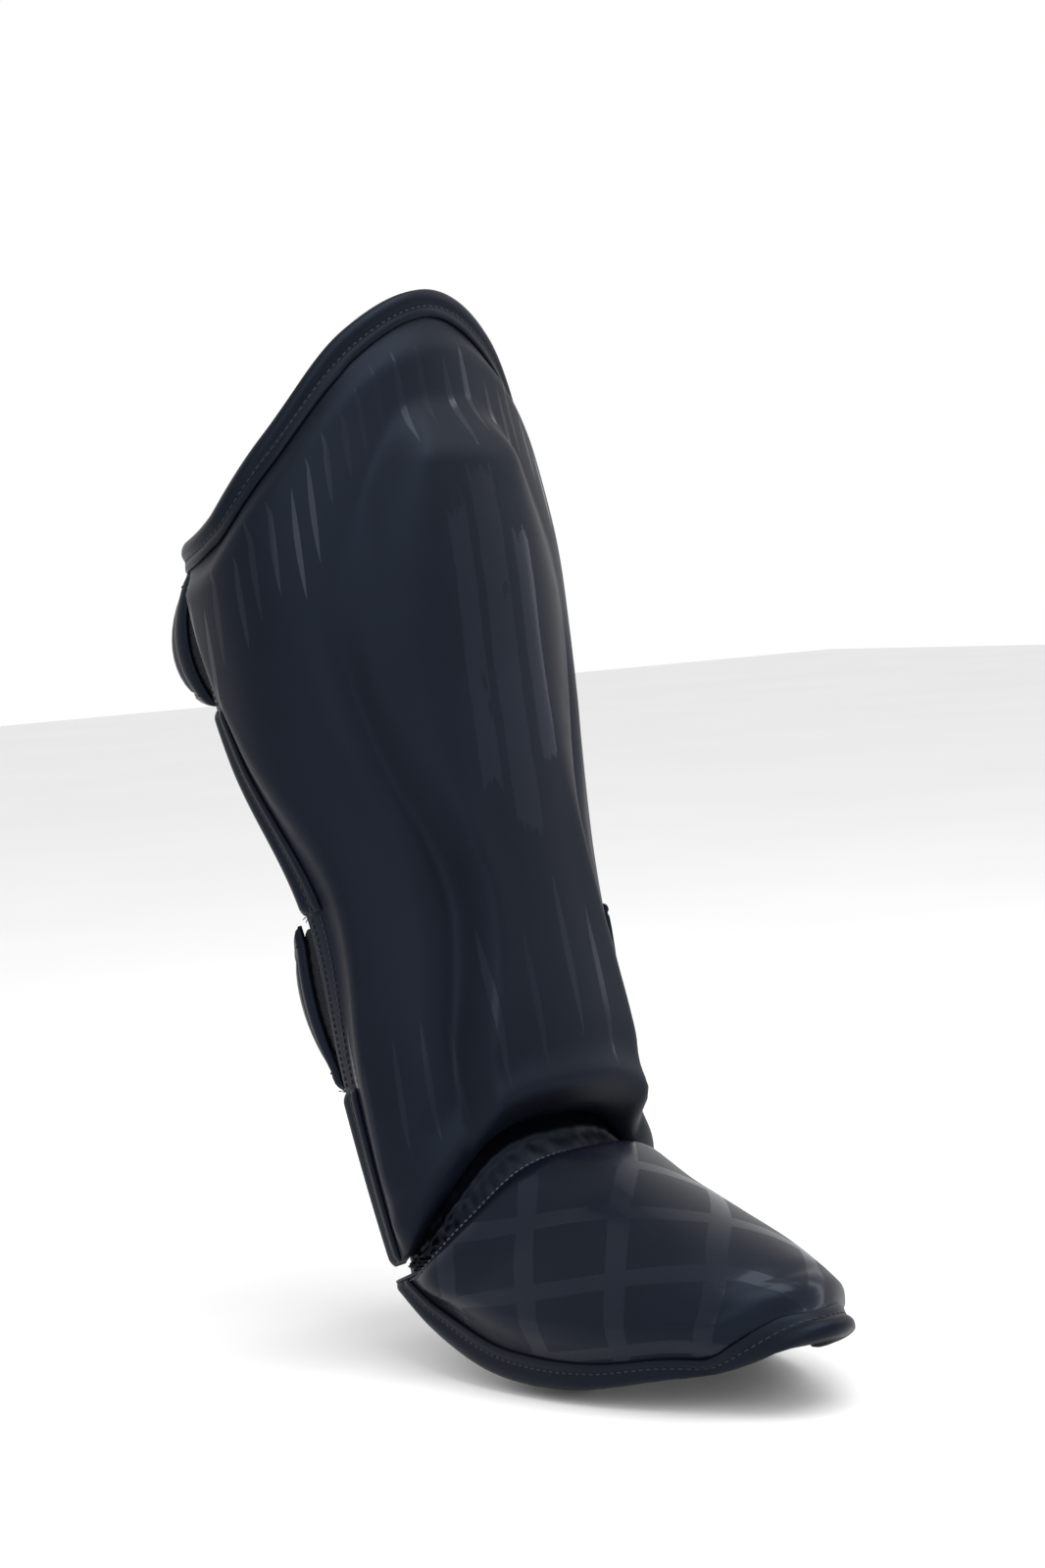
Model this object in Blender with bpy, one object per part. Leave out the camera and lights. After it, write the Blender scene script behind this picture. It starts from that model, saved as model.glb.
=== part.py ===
"""Muay thai shin guard: a moulded shin pad, an instep pad, the panel between them and the straps.

Metres, +Z up, toes towards -Y. The origin is where the pad's inner face bears on the middle of
the shin. Every piece is lofted from sections that are read off one oval leg and one instep.
"""
import math

import bmesh
import bpy
import numpy as np

# Driving sizes of the shin pad
SHIN_HEIGHT = 0.372
SHIN_LEAN = math.radians(16.0)
LEG_HALF = 0.084
LEG_FRONT = 0.056
LEG_BACK = 0.082
WRAP = math.radians(127.0)
APEX_SHIFT = 0.06
WING_WALL = 0.015
RAISE = 0.013
LIP = 0.016

# Driving sizes of the instep pad
FOOT_LENGTH = 0.183
INSTEP_DROP = 0.076
FLAP_DROP = 0.034
FOOT_WALL = 0.012

# Edges, tape and straps
EDGE_WALL = 0.004
MARGIN = 0.011
SWELL = 0.016
TAPE = 0.0011
ELASTIC = 0.002
STRAP_WALL = 0.0045
HOOK_TAPE = 0.0012
LAP_WALL = 0.55
LAP_END_SPREAD = 0.42
LAP_RISE = (0.030, 0.018, 0.008)
GUSSET_WALL = 0.002
TUCK = 0.012
GAP = 0.0004
LAY = 0.0010
FOLD = 0.0007

# Calf strap, by its drop from the pad's upper corner, and ankle strap, by its rise from the lower
CALF_STRAP_DROP = 0.03788
CALF_STRAP_WIDTH = 0.050
CALF_STRAP_BOW = 0.020
CALF_STRAP_CROWN = 0.45
CALF_LAP = 0.034
ANKLE_STRAP_RISE = 0.121848
ANKLE_STRAP_WIDTH = 0.052
ANKLE_STRAP_BOW = 0.005
ANKLE_STRAP_CROWN = 0.75
LEAST_BOW = 0.1
ANKLE_LAP = 0.021
BAND_RUN = 0.050
SEAM_RISE = (0.004, 0.014)
CLOSURE_HALF = 0.4

# Strap under the foot
SOLE_STRAP_WIDTH = 0.036
SOLE_STRAP_PLACE = 0.42
SOLE_STRAP_TURN = 0.015
SOLE_STRAP_SEWN = (0.038, 0.024)

# Mesh density and the reach of what is sampled
STRAP_STATIONS = 11
ELASTIC_POINTS = 9
CLOSURE_POINTS = 5
BACK_REACH = 1.1
SKIN_STEP = 0.01
MOST_SLANT = 0.75
MOST_EDGE = 0.32
PAD_COLUMNS = 18
PAD_ROWS = 17
FOOT_COLUMNS = 13
FOOT_ROWS = 10
GUSSET_CORNER = (0.50, 0.62)
GUSSET_PLACES = np.array([0.0, 0.12, 0.24, 0.36, 0.48, 0.6, 0.7, 0.78, 0.85, 0.91, 0.955])
SOLE_STRAP_TURNS = np.radians([1, 4, 10, 20, 35, 55, 75, 90])

INK = (0.012, 0.014, 0.022)
BLACK = (0.006, 0.006, 0.008)


def table(columns, rows):
    """A short table with named columns, read at the places in its first column."""
    return {name: np.array(values, float) for name, values in zip(columns.split(), zip(*rows))}


def read(sheet, column, place):
    """A column's value at a place, on a smooth curve through the table's rows."""
    places = next(iter(sheet.values()))
    values = sheet[column]
    slopes = np.gradient(values, places)
    place = np.clip(place, places[0], places[-1])
    row = np.clip(np.searchsorted(places, place, side="right") - 1, 0, len(places) - 2)
    span = places[row + 1] - places[row]
    t = (place - places[row]) / span
    start = values[row] * (2 * t**3 - 3 * t**2 + 1) + span * slopes[row] * (t**3 - 2 * t**2 + t)
    end = values[row + 1] * (3 * t**2 - 2 * t**3) + span * slopes[row + 1] * (t**3 - t**2)
    return start + end


def ease(value, low, high):
    """0 below low, 1 above high and a smooth ramp between."""
    t = np.clip((value - low) / (high - low), 0.0, 1.0)
    return t * t * (3 - 2 * t)


# Leg sections: height is a share of SHIN_HEIGHT, half_width of LEG_HALF, front and axis of
# LEG_FRONT, back of LEG_BACK and wrap of WRAP.
LEG = table("height half_width front back axis wrap", [
    (-0.24, 0.71, 0.52, 0.54, 0.24, 0.90),
    (-0.08, 0.75, 0.62, 0.60, 0.29, 0.88),
    (0.08, 0.78, 0.71, 0.65, 0.34, 0.83),
    (0.30, 0.83, 0.78, 0.73, 0.36, 0.74),
    (0.51, 0.95, 0.89, 0.95, 0.30, 0.87),
    (0.70, 1.00, 0.97, 1.01, 0.16, 0.99),
    (0.89, 0.94, 1.00, 1.00, 0.09, 1.00),
    (1.05, 0.91, 1.05, 0.97, 0.02, 0.99),
])

# Upper and lower edge of the pad, as shares of SHIN_HEIGHT, by the share of the way round. The
# first row mirrors the third, so that the curve is level at the middle.
EDGES = table("across top bottom", [
    (-0.25, 0.968, -0.012),
    (0.0, 1.012, 0.000),
    (0.25, 0.968, -0.012),
    (0.5, 0.862, -0.069),
    (0.75, 0.786, -0.118),
    (1.0, 0.790, -0.134),
])

# Padding: wing is a share of WING_WALL, and the raised middle's half width to the left and to the
# right and its border's blend are shares of LEG_HALF.
PADDING = table("height wing left right blend", [
    (-0.24, 0.73, 0.50, 0.57, 0.11),
    (0.00, 0.80, 0.47, 0.55, 0.10),
    (0.10, 0.82, 0.42, 0.52, 0.10),
    (0.20, 0.84, 0.33, 0.49, 0.10),
    (0.27, 0.85, 0.31, 0.47, 0.10),
    (0.35, 0.83, 0.38, 0.46, 0.12),
    (0.44, 0.79, 0.51, 0.51, 0.22),
    (0.62, 0.72, 0.60, 0.60, 0.36),
    (0.74, 0.70, 0.48, 0.50, 0.24),
    (0.82, 0.69, 0.32, 0.40, 0.15),
    (0.90, 0.66, 0.12, 0.20, 0.10),
])
RAISE_TOP = (0.79, 0.885)

# Instep: forward is a share of FOOT_LENGTH from the arch, drop of INSTEP_DROP, half_width of the
# pad's half width at its ankle corner, edge_forward of FOOT_LENGTH from that corner, edge_drop of
# FLAP_DROP, and turn of a right angle from the ridge down to the edge.
FOOT = table("along forward drop half_width edge_forward edge_drop turn", [
    (0.0, 0.115, 0.27, 0.95, -0.04, 0.24, 1.00),
    (0.2, 0.29, 0.38, 1.00, 0.12, 0.66, 1.00),
    (0.45, 0.51, 0.55, 1.02, 0.38, 1.08, 0.98),
    (0.7, 0.73, 0.72, 0.90, 0.65, 1.08, 0.90),
    (0.9, 0.90, 0.90, 0.66, 0.86, 0.80, 0.74),
    (1.0, 0.975, 0.99, 0.48, 0.945, 0.70, 0.60),
])

# The instep pad's rear edge, set off from the shin pad's lower edge: forward is a share of
# FOOT_LENGTH, drop of INSTEP_DROP and inset of that edge's own distance from the middle.
REAR = table("across forward drop inset", [
    (-0.25, 0.105, 0.24, 0.99),
    (0.0, 0.115, 0.265, 1.00),
    (0.25, 0.105, 0.24, 0.99),
    (0.5, 0.075, 0.18, 0.98),
    (0.75, 0.030, 0.12, 0.97),
    (1.0, -0.020, 0.10, 0.95),
])
REAR_BLEND = 0.30


def lean(x, y, z):
    """Tips the upright leg back and gives its points as one array."""
    cos, sin = math.cos(SHIN_LEAN), math.sin(SHIN_LEAN)
    return np.stack(np.broadcast_arrays(x, y * cos + z * sin, z * cos - y * sin), -1)


def leg(angle, height):
    """A point of the leg's oval. The angle starts at the front and grows towards +X."""
    share = height / SHIN_HEIGHT
    cos = np.cos(angle)
    depth = np.where(cos > 0, LEG_FRONT * read(LEG, "front", share), LEG_BACK * read(LEG, "back", share))
    x = LEG_HALF * read(LEG, "half_width", share) * np.sin(angle)
    y = LEG_FRONT * read(LEG, "axis", share) - depth * cos
    return lean(x, y, height)


def wrap_at(height):
    return WRAP * read(LEG, "wrap", height / SHIN_HEIGHT)


def pad_place(across, up):
    """Angle and height on the leg of a place on the pad, from -1 to 1 across and 0 to 1 up."""
    side = np.minimum(np.abs(across), 1.0)
    from_apex = np.minimum(np.abs(across - APEX_SHIFT * (1 - side)), 1.0)
    low = SHIN_HEIGHT * read(EDGES, "bottom", side)
    high = SHIN_HEIGHT * read(EDGES, "top", from_apex)
    height = low + (high - low) * up
    return across * wrap_at(height), height


def pad_skin(across, up):
    return leg(*pad_place(across, up))


ARCH = pad_skin(0.0, 0.0)
ANKLE_CORNER = pad_skin(1.0, 0.0)


def rear_edge(across):
    """The instep pad's rear edge, a little forward of the pad's arch and below it."""
    side = np.abs(across)
    arch = pad_skin(across, 0.0)
    forward = FOOT_LENGTH * read(REAR, "forward", side)
    drop = INSTEP_DROP * read(REAR, "drop", side)
    x = arch[..., 0] * read(REAR, "inset", side)
    return np.stack(np.broadcast_arrays(x, arch[..., 1] - forward, arch[..., 2] - drop), -1)


def foot_skin(across, along):
    """The instep pad's inner face, from -1 to 1 across and 0 at the ankle to 1 at the toes."""
    section = foot_section(across, along)
    start = rear_edge(np.clip(across, -1, 1)) - foot_section(across, 0.0)
    return section + start * (1 - ease(along, -0.05, REAR_BLEND))[..., None]


def foot_section(across, along):
    """The instep's own sections, before its rear edge is led to the arch."""
    ridge_y = ARCH[1] - FOOT_LENGTH * read(FOOT, "forward", along)
    ridge_z = ARCH[2] - INSTEP_DROP * read(FOOT, "drop", along)
    edge_x = ANKLE_CORNER[0] * read(FOOT, "half_width", along)
    edge_y = ANKLE_CORNER[1] - FOOT_LENGTH * read(FOOT, "edge_forward", along)
    edge_z = ANKLE_CORNER[2] - FLAP_DROP * read(FOOT, "edge_drop", along)
    most = read(FOOT, "turn", along) * math.pi / 2
    turn = across * most
    fall = (1 - np.cos(turn)) / (1 - np.cos(most))
    x = edge_x * np.sin(turn) / np.sin(most)
    y = ridge_y + (edge_y - ridge_y) * fall
    z = ridge_z + (edge_z - ridge_z) * fall
    return np.stack(np.broadcast_arrays(x, y, z), -1)


def unit(vectors):
    return vectors / np.maximum(np.linalg.norm(vectors, axis=-1, keepdims=True), 1e-12)


def skin_normal(skin, first, second, step):
    """Outward normal of a skin, from the slopes along its two directions."""
    along = skin(first + step, second) - skin(first - step, second)
    up = skin(first, second + step) - skin(first, second - step)
    return unit(np.cross(along, up))


def leg_point(angle, height, offset):
    return leg(angle, height) + skin_normal(leg, angle, height, 0.002) * offset[..., None]


def foot_point(across, along, offset):
    normal = -skin_normal(foot_skin, across, np.clip(along, 0.01, 0.99), 0.01)
    return foot_skin(across, along) + normal * offset[..., None]


def lengths(points):
    """Distance run along a line of points."""
    return np.concatenate([[0.0], np.cumsum(np.linalg.norm(np.diff(points, axis=0), axis=1))])


def spaced(total, start, end, count):
    """Places along a length: set distances from both ends, and even ones between them."""
    middle = np.linspace(start[-1], total - end[-1], count + 2)[1:-1]
    return np.concatenate([[0.0], start, middle, total - end[::-1], [total]])


def slant(skin, u, v):
    """How much a distance square to an edge grows when it is measured along the grid instead."""
    low, high = np.clip(v - SKIN_STEP, 0, 1), np.clip(v + SKIN_STEP, 0, 1)
    across = unit(skin(u + SKIN_STEP, v) - skin(u - SKIN_STEP, v))
    up = unit(skin(u, high) - skin(u, low))
    return 1 / np.maximum(np.linalg.norm(np.cross(across, up)), MOST_SLANT)


def lay_grid(skin, side, bottom, top, columns, rows):
    """Places of a pad's grid, and each one's distance from the sides, the bottom and the top."""
    fine = np.linspace(-1, 1, 81)
    up = np.linspace(0, 1, 81)
    ups, heights, totals = [], [], []
    for u in fine:
        run = lengths(skin(np.full_like(up, u), up))
        near = slant(skin, u, 0.0) * np.array(bottom)
        far = slant(skin, u, 1.0) * np.array(top)
        places = spaced(run[-1], near, far, rows)
        ups.append(np.interp(places, run, up))
        heights.append(places)
        totals.append(run[-1])
    ups, heights, totals = np.array(ups).T, np.array(heights).T, np.array(totals)
    grid = {name: [] for name in ("across", "up", "side", "bottom", "top", "lateral")}
    for row_up, row_height in zip(ups, heights):
        run = lengths(skin(fine, row_up))
        most = MOST_EDGE * run[-1] / side[-1]
        ends = ((-1.0, row_up[0]), (1.0, row_up[-1]))
        edges = [min(most, slant(skin, u, v)) * np.array(side) for u, v in ends]
        places = spaced(run[-1], edges[0], edges[1], columns)
        across = np.interp(places, run, fine)
        grid["across"].append(across)
        grid["up"].append(np.interp(across, fine, row_up))
        grid["side"].append(np.minimum(places / edges[0][0], (run[-1] - places) / edges[1][0]) * side[0])
        grid["bottom"].append(np.interp(across, fine, row_height))
        grid["top"].append(np.interp(across, fine, totals - row_height))
        grid["lateral"].append(places - run[-1] / 2)
    return {name: np.array(values) for name, values in grid.items()}


def read_side(lateral, share):
    """Half width of the raised middle on the side that a place lies on, as a share of LEG_HALF."""
    return np.where(lateral < 0, read(PADDING, "left", share), read(PADDING, "right", share))


def pad_wall(height, side, top, bottom, lateral):
    """Thickness of the shin pad: thin bound edges, a full wing, a raised middle, a round lip."""
    share = height / SHIN_HEIGHT
    middle = LEG_HALF * read_side(lateral, share)
    blend = LEG_HALF * read(PADDING, "blend", share)
    border = ease(np.abs(lateral), middle - blend, middle + blend)
    raised = (1 - border) * (1 - ease(share, *RAISE_TOP))
    full = WING_WALL * read(PADDING, "wing", share) + RAISE * raised
    inland = ease(np.minimum(side, top), MARGIN, MARGIN + SWELL)
    round_lip = np.sqrt(1 - (1 - np.clip(bottom / LIP, 0, 1)) ** 2)
    return EDGE_WALL + (full - EDGE_WALL) * inland * round_lip


def foot_wall(side, toe):
    """Thickness of the instep pad: thin bound sides and toe."""
    return EDGE_WALL + (FOOT_WALL - EDGE_WALL) * ease(np.minimum(side, toe), MARGIN, MARGIN + SWELL)


def pad_faces():
    """Inner and outer face of the shin pad as two grids of points, and their heights."""
    side = [MARGIN, MARGIN + SWELL / 2, MARGIN + SWELL]
    bottom = [0.1 * LIP, 0.4 * LIP, LIP]
    grid = lay_grid(pad_skin, side, bottom, side, PAD_COLUMNS, PAD_ROWS)
    angle, height = pad_place(grid["across"], grid["up"])
    wall = pad_wall(height, grid["side"], grid["top"], grid["bottom"], grid["lateral"])
    return leg(angle, height), leg_point(angle, height, wall), height


def foot_faces():
    """Inner and outer face of the instep pad as two grids of points."""
    side = [MARGIN, MARGIN + SWELL / 2, MARGIN + SWELL]
    rear = [0.15 * FOOT_WALL, 0.5 * FOOT_WALL, FOOT_WALL]
    grid = lay_grid(foot_skin, side, rear, side, FOOT_COLUMNS, FOOT_ROWS)
    round_rear = np.sqrt(1 - (1 - np.clip(grid["bottom"] / FOOT_WALL, 0, 1)) ** 2)
    wall = foot_wall(grid["side"], grid["top"])
    wall = EDGE_WALL + (wall - EDGE_WALL) * round_rear
    across, along = grid["across"], grid["up"]
    return foot_skin(across, along), foot_point(across, along, wall)


def loft(name, rings, colour, roughness):
    """One closed solid through rings of points, with both ends closed by strips of faces."""
    rings = np.asarray(rings) - SEAT
    stations, points = rings.shape[:2]
    mesh = bpy.data.meshes.new(name)
    solid = bmesh.new()
    corners = [[solid.verts.new(point) for point in ring] for ring in rings]
    for near, far in zip(corners, corners[1:]):
        for k in range(points):
            after = (k + 1) % points
            solid.faces.new((near[k], near[after], far[after], far[k]))
    for end in (corners[0], corners[-1]):
        for k in range(points // 2 - 1):
            solid.faces.new((end[k], end[k + 1], end[-2 - k], end[-1 - k]))
    bmesh.ops.recalc_face_normals(solid, faces=solid.faces)
    bmesh.ops.triangulate(solid, faces=solid.faces, quad_method="SHORT_EDGE")
    solid.to_mesh(mesh)
    solid.free()
    mesh.shade_smooth()
    mesh.set_sharp_from_angle(angle=math.radians(40))
    piece = bpy.data.objects.new(name, mesh)
    bpy.context.collection.objects.link(piece)
    mesh.materials.append(finish(name, colour, roughness))
    return piece


def finish(name, colour, roughness):
    material = bpy.data.materials.new(name + "_finish")
    material.use_nodes = True
    surface = material.node_tree.nodes["Principled BSDF"]
    surface.inputs["Base Color"].default_value = (*colour, 1.0)
    surface.inputs["Roughness"].default_value = roughness
    surface.inputs["Metallic"].default_value = 0.0
    return material


def shell_rings(inner, outer):
    """Rings of a wall: each one goes along the outer face and comes back along the inner one."""
    return np.concatenate([outer, inner[:, ::-1]], axis=1)


def binding(name, outer_edge, outer_inset, inner_edge, inner_inset):
    """Tape folded over an edge. The four lines of points run along the edge of the wall."""
    normal = unit(outer_edge - inner_edge)
    tangent = unit(np.gradient(outer_edge, axis=0))
    away = unit(np.cross(tangent, normal))
    away = away * np.sign(np.sum(away * (outer_edge - outer_inset), axis=1))[:, None]
    near, far = FOLD, FOLD + TAPE
    rings = np.stack([
        outer_inset + normal * far,
        outer_edge + normal * far,
        outer_edge + away * far,
        inner_edge + away * far,
        inner_edge - normal * far,
        inner_inset - normal * far,
        inner_inset - normal * near,
        inner_edge - normal * near,
        inner_edge + (away - normal) * near,
        outer_edge + (away + normal) * near,
        outer_edge + normal * near,
        outer_inset + normal * near,
    ], axis=1)
    loft(name, rings, INK, 0.4)


def cut_lines(lines, places, low, high):
    """The stretch of some edge lines between two places, ending on the wall's own facets."""
    inside = places[(places > low + 2 * LAY) & (places < high - 2 * LAY)]
    stations = np.concatenate([[low], inside, [high]])
    return [np.stack([np.interp(stations, places, line[:, k]) for k in range(3)], 1) for line in lines]


def side_lines(inner, outer, side):
    """Edge and inset lines down one side of a pad; side is -1 or 1."""
    edge, inset = (0, 1) if side < 0 else (-1, -2)
    return outer[:, edge], outer[:, inset], inner[:, edge], inner[:, inset]


# Straps past the left edge: past is a share of BAND_RUN from that edge, lift of the strap's bow,
# and low and high are the band's edges as shares of its width.
CALF_BAND = table("past lift low high", [
    (0.28, 0.50, -0.70, 0.68),
    (0.42, 0.82, -0.66, 0.63),
    (0.60, 1.00, -0.58, 0.57),
    (0.90, 1.00, -0.50, 0.50),
])
ANKLE_BAND = table("past lift low high", [
    (0.28, 0.50, -0.74, 0.72),
    (0.42, 0.82, -0.68, 0.66),
    (0.60, 1.00, -0.59, 0.58),
    (0.90, 1.00, -0.50, 0.50),
])
ELASTIC_BAND = table("past lift low high", [
    (-0.24, 0.0, -0.70, 0.42),
    (0.00, 0.0, -0.74, 0.46),
    (0.08, 0.10, -0.76, 0.58),
    (0.18, 0.27, -0.74, 0.66),
    (0.28, 0.50, -0.70, 0.65),
    (0.42, 0.82, -0.66, 0.60),
    (0.52, 0.94, -0.60, 0.56),
])
BAND_SHAPE = table("across wall", [
    (-1.0, 0.45),
    (-0.82, 0.90),
    (-0.55, 1.00),
    (-0.2, 1.00),
    (0.2, 1.00),
    (0.55, 1.00),
    (0.82, 0.90),
    (1.0, 0.45),
])
SEAT = leg(0.0, 0.5 * SHIN_HEIGHT)
CALF_STRAP_HEIGHT = SHIN_HEIGHT * read(EDGES, "top", 1.0) - CALF_STRAP_DROP
ANKLE_STRAP_HEIGHT = SHIN_HEIGHT * read(EDGES, "bottom", 1.0) + ANKLE_STRAP_RISE
FAR = 1.0


def around_back(height):
    """Distance past the left edge and angle, on the way round the back at one height."""
    wrap = wrap_at(height)
    angle = np.linspace(wrap - BACK_REACH, 2 * math.pi - wrap + BACK_REACH, 161)
    run = lengths(leg(-angle, np.full_like(angle, height)))
    start = np.interp(wrap, angle, run)
    end = np.interp(2 * math.pi - wrap, angle, run)
    return run - start, -angle, end - start


def band_point(height, end, distance, offset):
    """A point off the leg's oval; end is 0 at the left edge, 1 at the right one or between."""
    run, angle, total = around_back(height)
    place = (1 - end) * distance + end * (total - distance)
    return leg_point(np.interp(place, run, angle), height, np.asarray(offset))


def wing_wall(height, inland):
    """Thickness of the wing at a distance in from its side edge."""
    return float(pad_wall(height, inland, FAR, FAR, FAR))


def lap_places(lap):
    """Distances in from the right edge where a lap follows the wing's own sections."""
    wing = [MARGIN, MARGIN + SWELL / 2, MARGIN + SWELL]
    return [place for place in wing if place < lap - 0.001]


def bowed(bow, crown, from_middle):
    """How far a strap stands off the leg: all of its bow in the middle, less towards its edges."""
    return bow * max(LEAST_BOW, 1 - crown * (2 * from_middle) ** 2)


def make_strap(name, height, width, bow, crown, lap, bands):
    """A padded strap from its elastic on the left to its lap over the right wing."""
    seat = LAY + HOOK_TAPE + LAY
    last = BAND_RUN * bands["past"][-1]
    stations = []
    for past, lift, low, high in zip(*bands.values()):
        stations.append((0, BAND_RUN * past, lift, 0.0, low, high))
    for share in np.linspace(0, 1, STRAP_STATIONS)[1:]:
        stations.append((share, last, 1.0, 0.0, -0.5, 0.5))
    for distance in LAP_RISE:
        rise = ease(distance, SEAM_RISE[0], last)
        stations.append((1, distance, rise, (1 - rise) * (EDGE_WALL + seat - LAY), -0.5, 0.5))
    for inland in [0.0] + lap_places(lap) + [lap]:
        spread = 0.5 if inland < lap else LAP_END_SPREAD
        stations.append((1, -inland, None, 0.0, -spread, spread))
    rings = []
    for end, distance, lift, seated, low, high in stations:
        outer, inner = [], []
        for across, share in zip(BAND_SHAPE["across"], BAND_SHAPE["wall"]):
            from_middle = low + (high - low) * (across + 1) / 2
            place = height + width * from_middle
            if lift is None:
                under = wing_wall(place, -distance) + seat
                wall = STRAP_WALL * LAP_WALL
            else:
                under = LAY + seated + lift * bowed(bow, crown, from_middle)
                wall = STRAP_WALL
            outer.append(band_point(place, end, distance, under + wall * share))
            inner.append(band_point(place, end, distance, under))
        rings.append(outer + inner[::-1])
    loft(name, rings, INK, 0.38)


def make_elastic(name, height, width, bow, crown):
    """The elastic sewn inside the left margin, that the strap is sewn on to."""
    rings = []
    for past, lift, low, high in zip(*ELASTIC_BAND.values()):
        distance = BAND_RUN * past
        outer, inner = [], []
        for across in np.linspace(0, 1, ELASTIC_POINTS):
            from_middle = low + (high - low) * across
            place = height + width * from_middle
            top = lift * bowed(bow, crown, from_middle) - GAP * (1 - ease(distance, *SEAM_RISE))
            outer.append(band_point(place, 0, distance, top))
            inner.append(band_point(place, 0, distance, top - ELASTIC))
        rings.append(outer + inner[::-1])
    loft(name, rings, BLACK, 0.8)


def make_closure(name, height, width, lap):
    """Hook tape on the right wing, under the end of the strap."""
    rings = []
    for inland in [0.1 * MARGIN] + lap_places(lap):
        outer, inner = [], []
        for across in np.linspace(-CLOSURE_HALF, CLOSURE_HALF, CLOSURE_POINTS):
            place = height + width * across
            seat = wing_wall(place, inland) + LAY
            outer.append(band_point(place, 1, -inland, seat + HOOK_TAPE))
            inner.append(band_point(place, 1, -inland, seat))
        rings.append(outer + inner[::-1])
    loft(name, rings, BLACK, 0.9)


def make_shin_pad():
    inner, outer, height = pad_faces()
    loft("shin_pad", shell_rings(inner.transpose(1, 0, 2), outer.transpose(1, 0, 2)), INK, 0.35)
    binding("top_binding", outer[-1], outer[-2], inner[-1], inner[-2])
    calf_low = CALF_STRAP_HEIGHT + CALF_STRAP_WIDTH * ELASTIC_BAND["low"].min() - LAY
    ankle_high = ANKLE_STRAP_HEIGHT + ANKLE_STRAP_WIDTH * ANKLE_BAND["high"].max() + LAY
    ankle_low = ANKLE_STRAP_HEIGHT + ANKLE_STRAP_WIDTH * ELASTIC_BAND["low"].min() - LAY
    for side, word in ((-1, "left"), (1, "right")):
        lines = side_lines(inner, outer, side)
        places = height[:, 0 if side < 0 else -1]
        binding("side_binding_" + word, *cut_lines(lines, places, ankle_high, calf_low))
        binding("heel_binding_" + word, *cut_lines(lines, places, places[0] + GAP, ankle_low))


def toe_inset(face):
    """The line one margin in from the side, toe and side edges, with none of its points shared."""
    left, right, toe = face[:-1, 1], face[:-1, -2], face[-2, 1:-1]
    near, far = 0.8, 0.2
    return np.concatenate([
        left[:-1],
        [near * left[-1] + far * left[-2], left[-1], near * toe[0] + far * toe[1]],
        toe[1:-1],
        [near * toe[-1] + far * toe[-2], right[-1], near * right[-1] + far * right[-2]],
        right[-2::-1],
    ])


def make_foot_pad():
    inner, outer = foot_faces()
    loft("foot_pad", shell_rings(inner.transpose(1, 0, 2), outer.transpose(1, 0, 2)), INK, 0.3)
    lines = []
    for face in (outer, inner):
        lines.append(np.concatenate([face[:, 0], face[-1, 1:], face[-2::-1, -1]]))
        lines.append(toe_inset(face))
    outer_edge, outer_inset, inner_edge, inner_inset = lines
    binding("foot_binding", outer_edge, outer_inset, inner_edge, inner_inset)


def make_gusset():
    """The flexible panel, tucked inside the pad's arch and inside the instep pad's rear edge."""
    rings = []
    for across in np.concatenate([-GUSSET_PLACES[:0:-1], GUSSET_PLACES]):
        clear = LAY + (TAPE + FOLD) * ease(abs(across), *GUSSET_CORNER)
        faces = []
        for depth in (clear, clear + GUSSET_WALL):
            offset = np.asarray(-depth)
            angle, height = pad_place(across, 0.0)
            top = leg_point(angle, height + TUCK, offset)
            edge = leg_point(angle, height, offset)
            rear = foot_point(across, 0.0, offset)
            tuck = foot_point(across, TUCK / FOOT_LENGTH, offset)
            middle = (edge + rear) / 2
            faces.append([top, edge, middle, rear, tuck])
        rings.append(faces[0] + faces[1][::-1])
    loft("ankle_gusset", rings, BLACK, 0.7)


def make_sole_strap():
    """Elastic from inside one flap, under the foot, to inside the other."""
    half = 0.5 * SOLE_STRAP_WIDTH / FOOT_LENGTH
    flap_clear = FOLD + TAPE + 2 * LAY
    up_the_flap = [(up, GAP) for up in SOLE_STRAP_SEWN] + [(SOLE_STRAP_TURN, flap_clear)]
    fine = np.linspace(-1, 0, 61)
    rows = []
    for along in SOLE_STRAP_PLACE + half * np.array([-1, 0, 1]):
        run = lengths(foot_skin(fine, along))
        faces = []
        for depth in (0.0, ELASTIC):
            points = []
            for up, clear in up_the_flap:
                across = np.interp(up, run, fine)
                points.append(foot_point(across, along, np.asarray(-clear - depth)))
            start = points[-1]
            for turn in SOLE_STRAP_TURNS:
                x = start[0] * math.cos(turn) ** 0.5 if turn < SOLE_STRAP_TURNS[-1] else 0.0
                z = start[2] - (SOLE_STRAP_TURN - depth) * math.sin(turn) ** 0.5
                points.append(np.array([x, start[1], z]))
            mirrored = [point * np.array([-1, 1, 1]) for point in points[-2::-1]]
            faces.append(np.array(points + mirrored))
        rows.append(faces)
    rings = []
    for station in range(len(rows[0][0])):
        outer = [faces[0][station] for faces in rows]
        inner = [faces[1][station] for faces in rows]
        rings.append(outer + inner[::-1])
    loft("sole_strap", rings, BLACK, 0.8)


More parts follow.
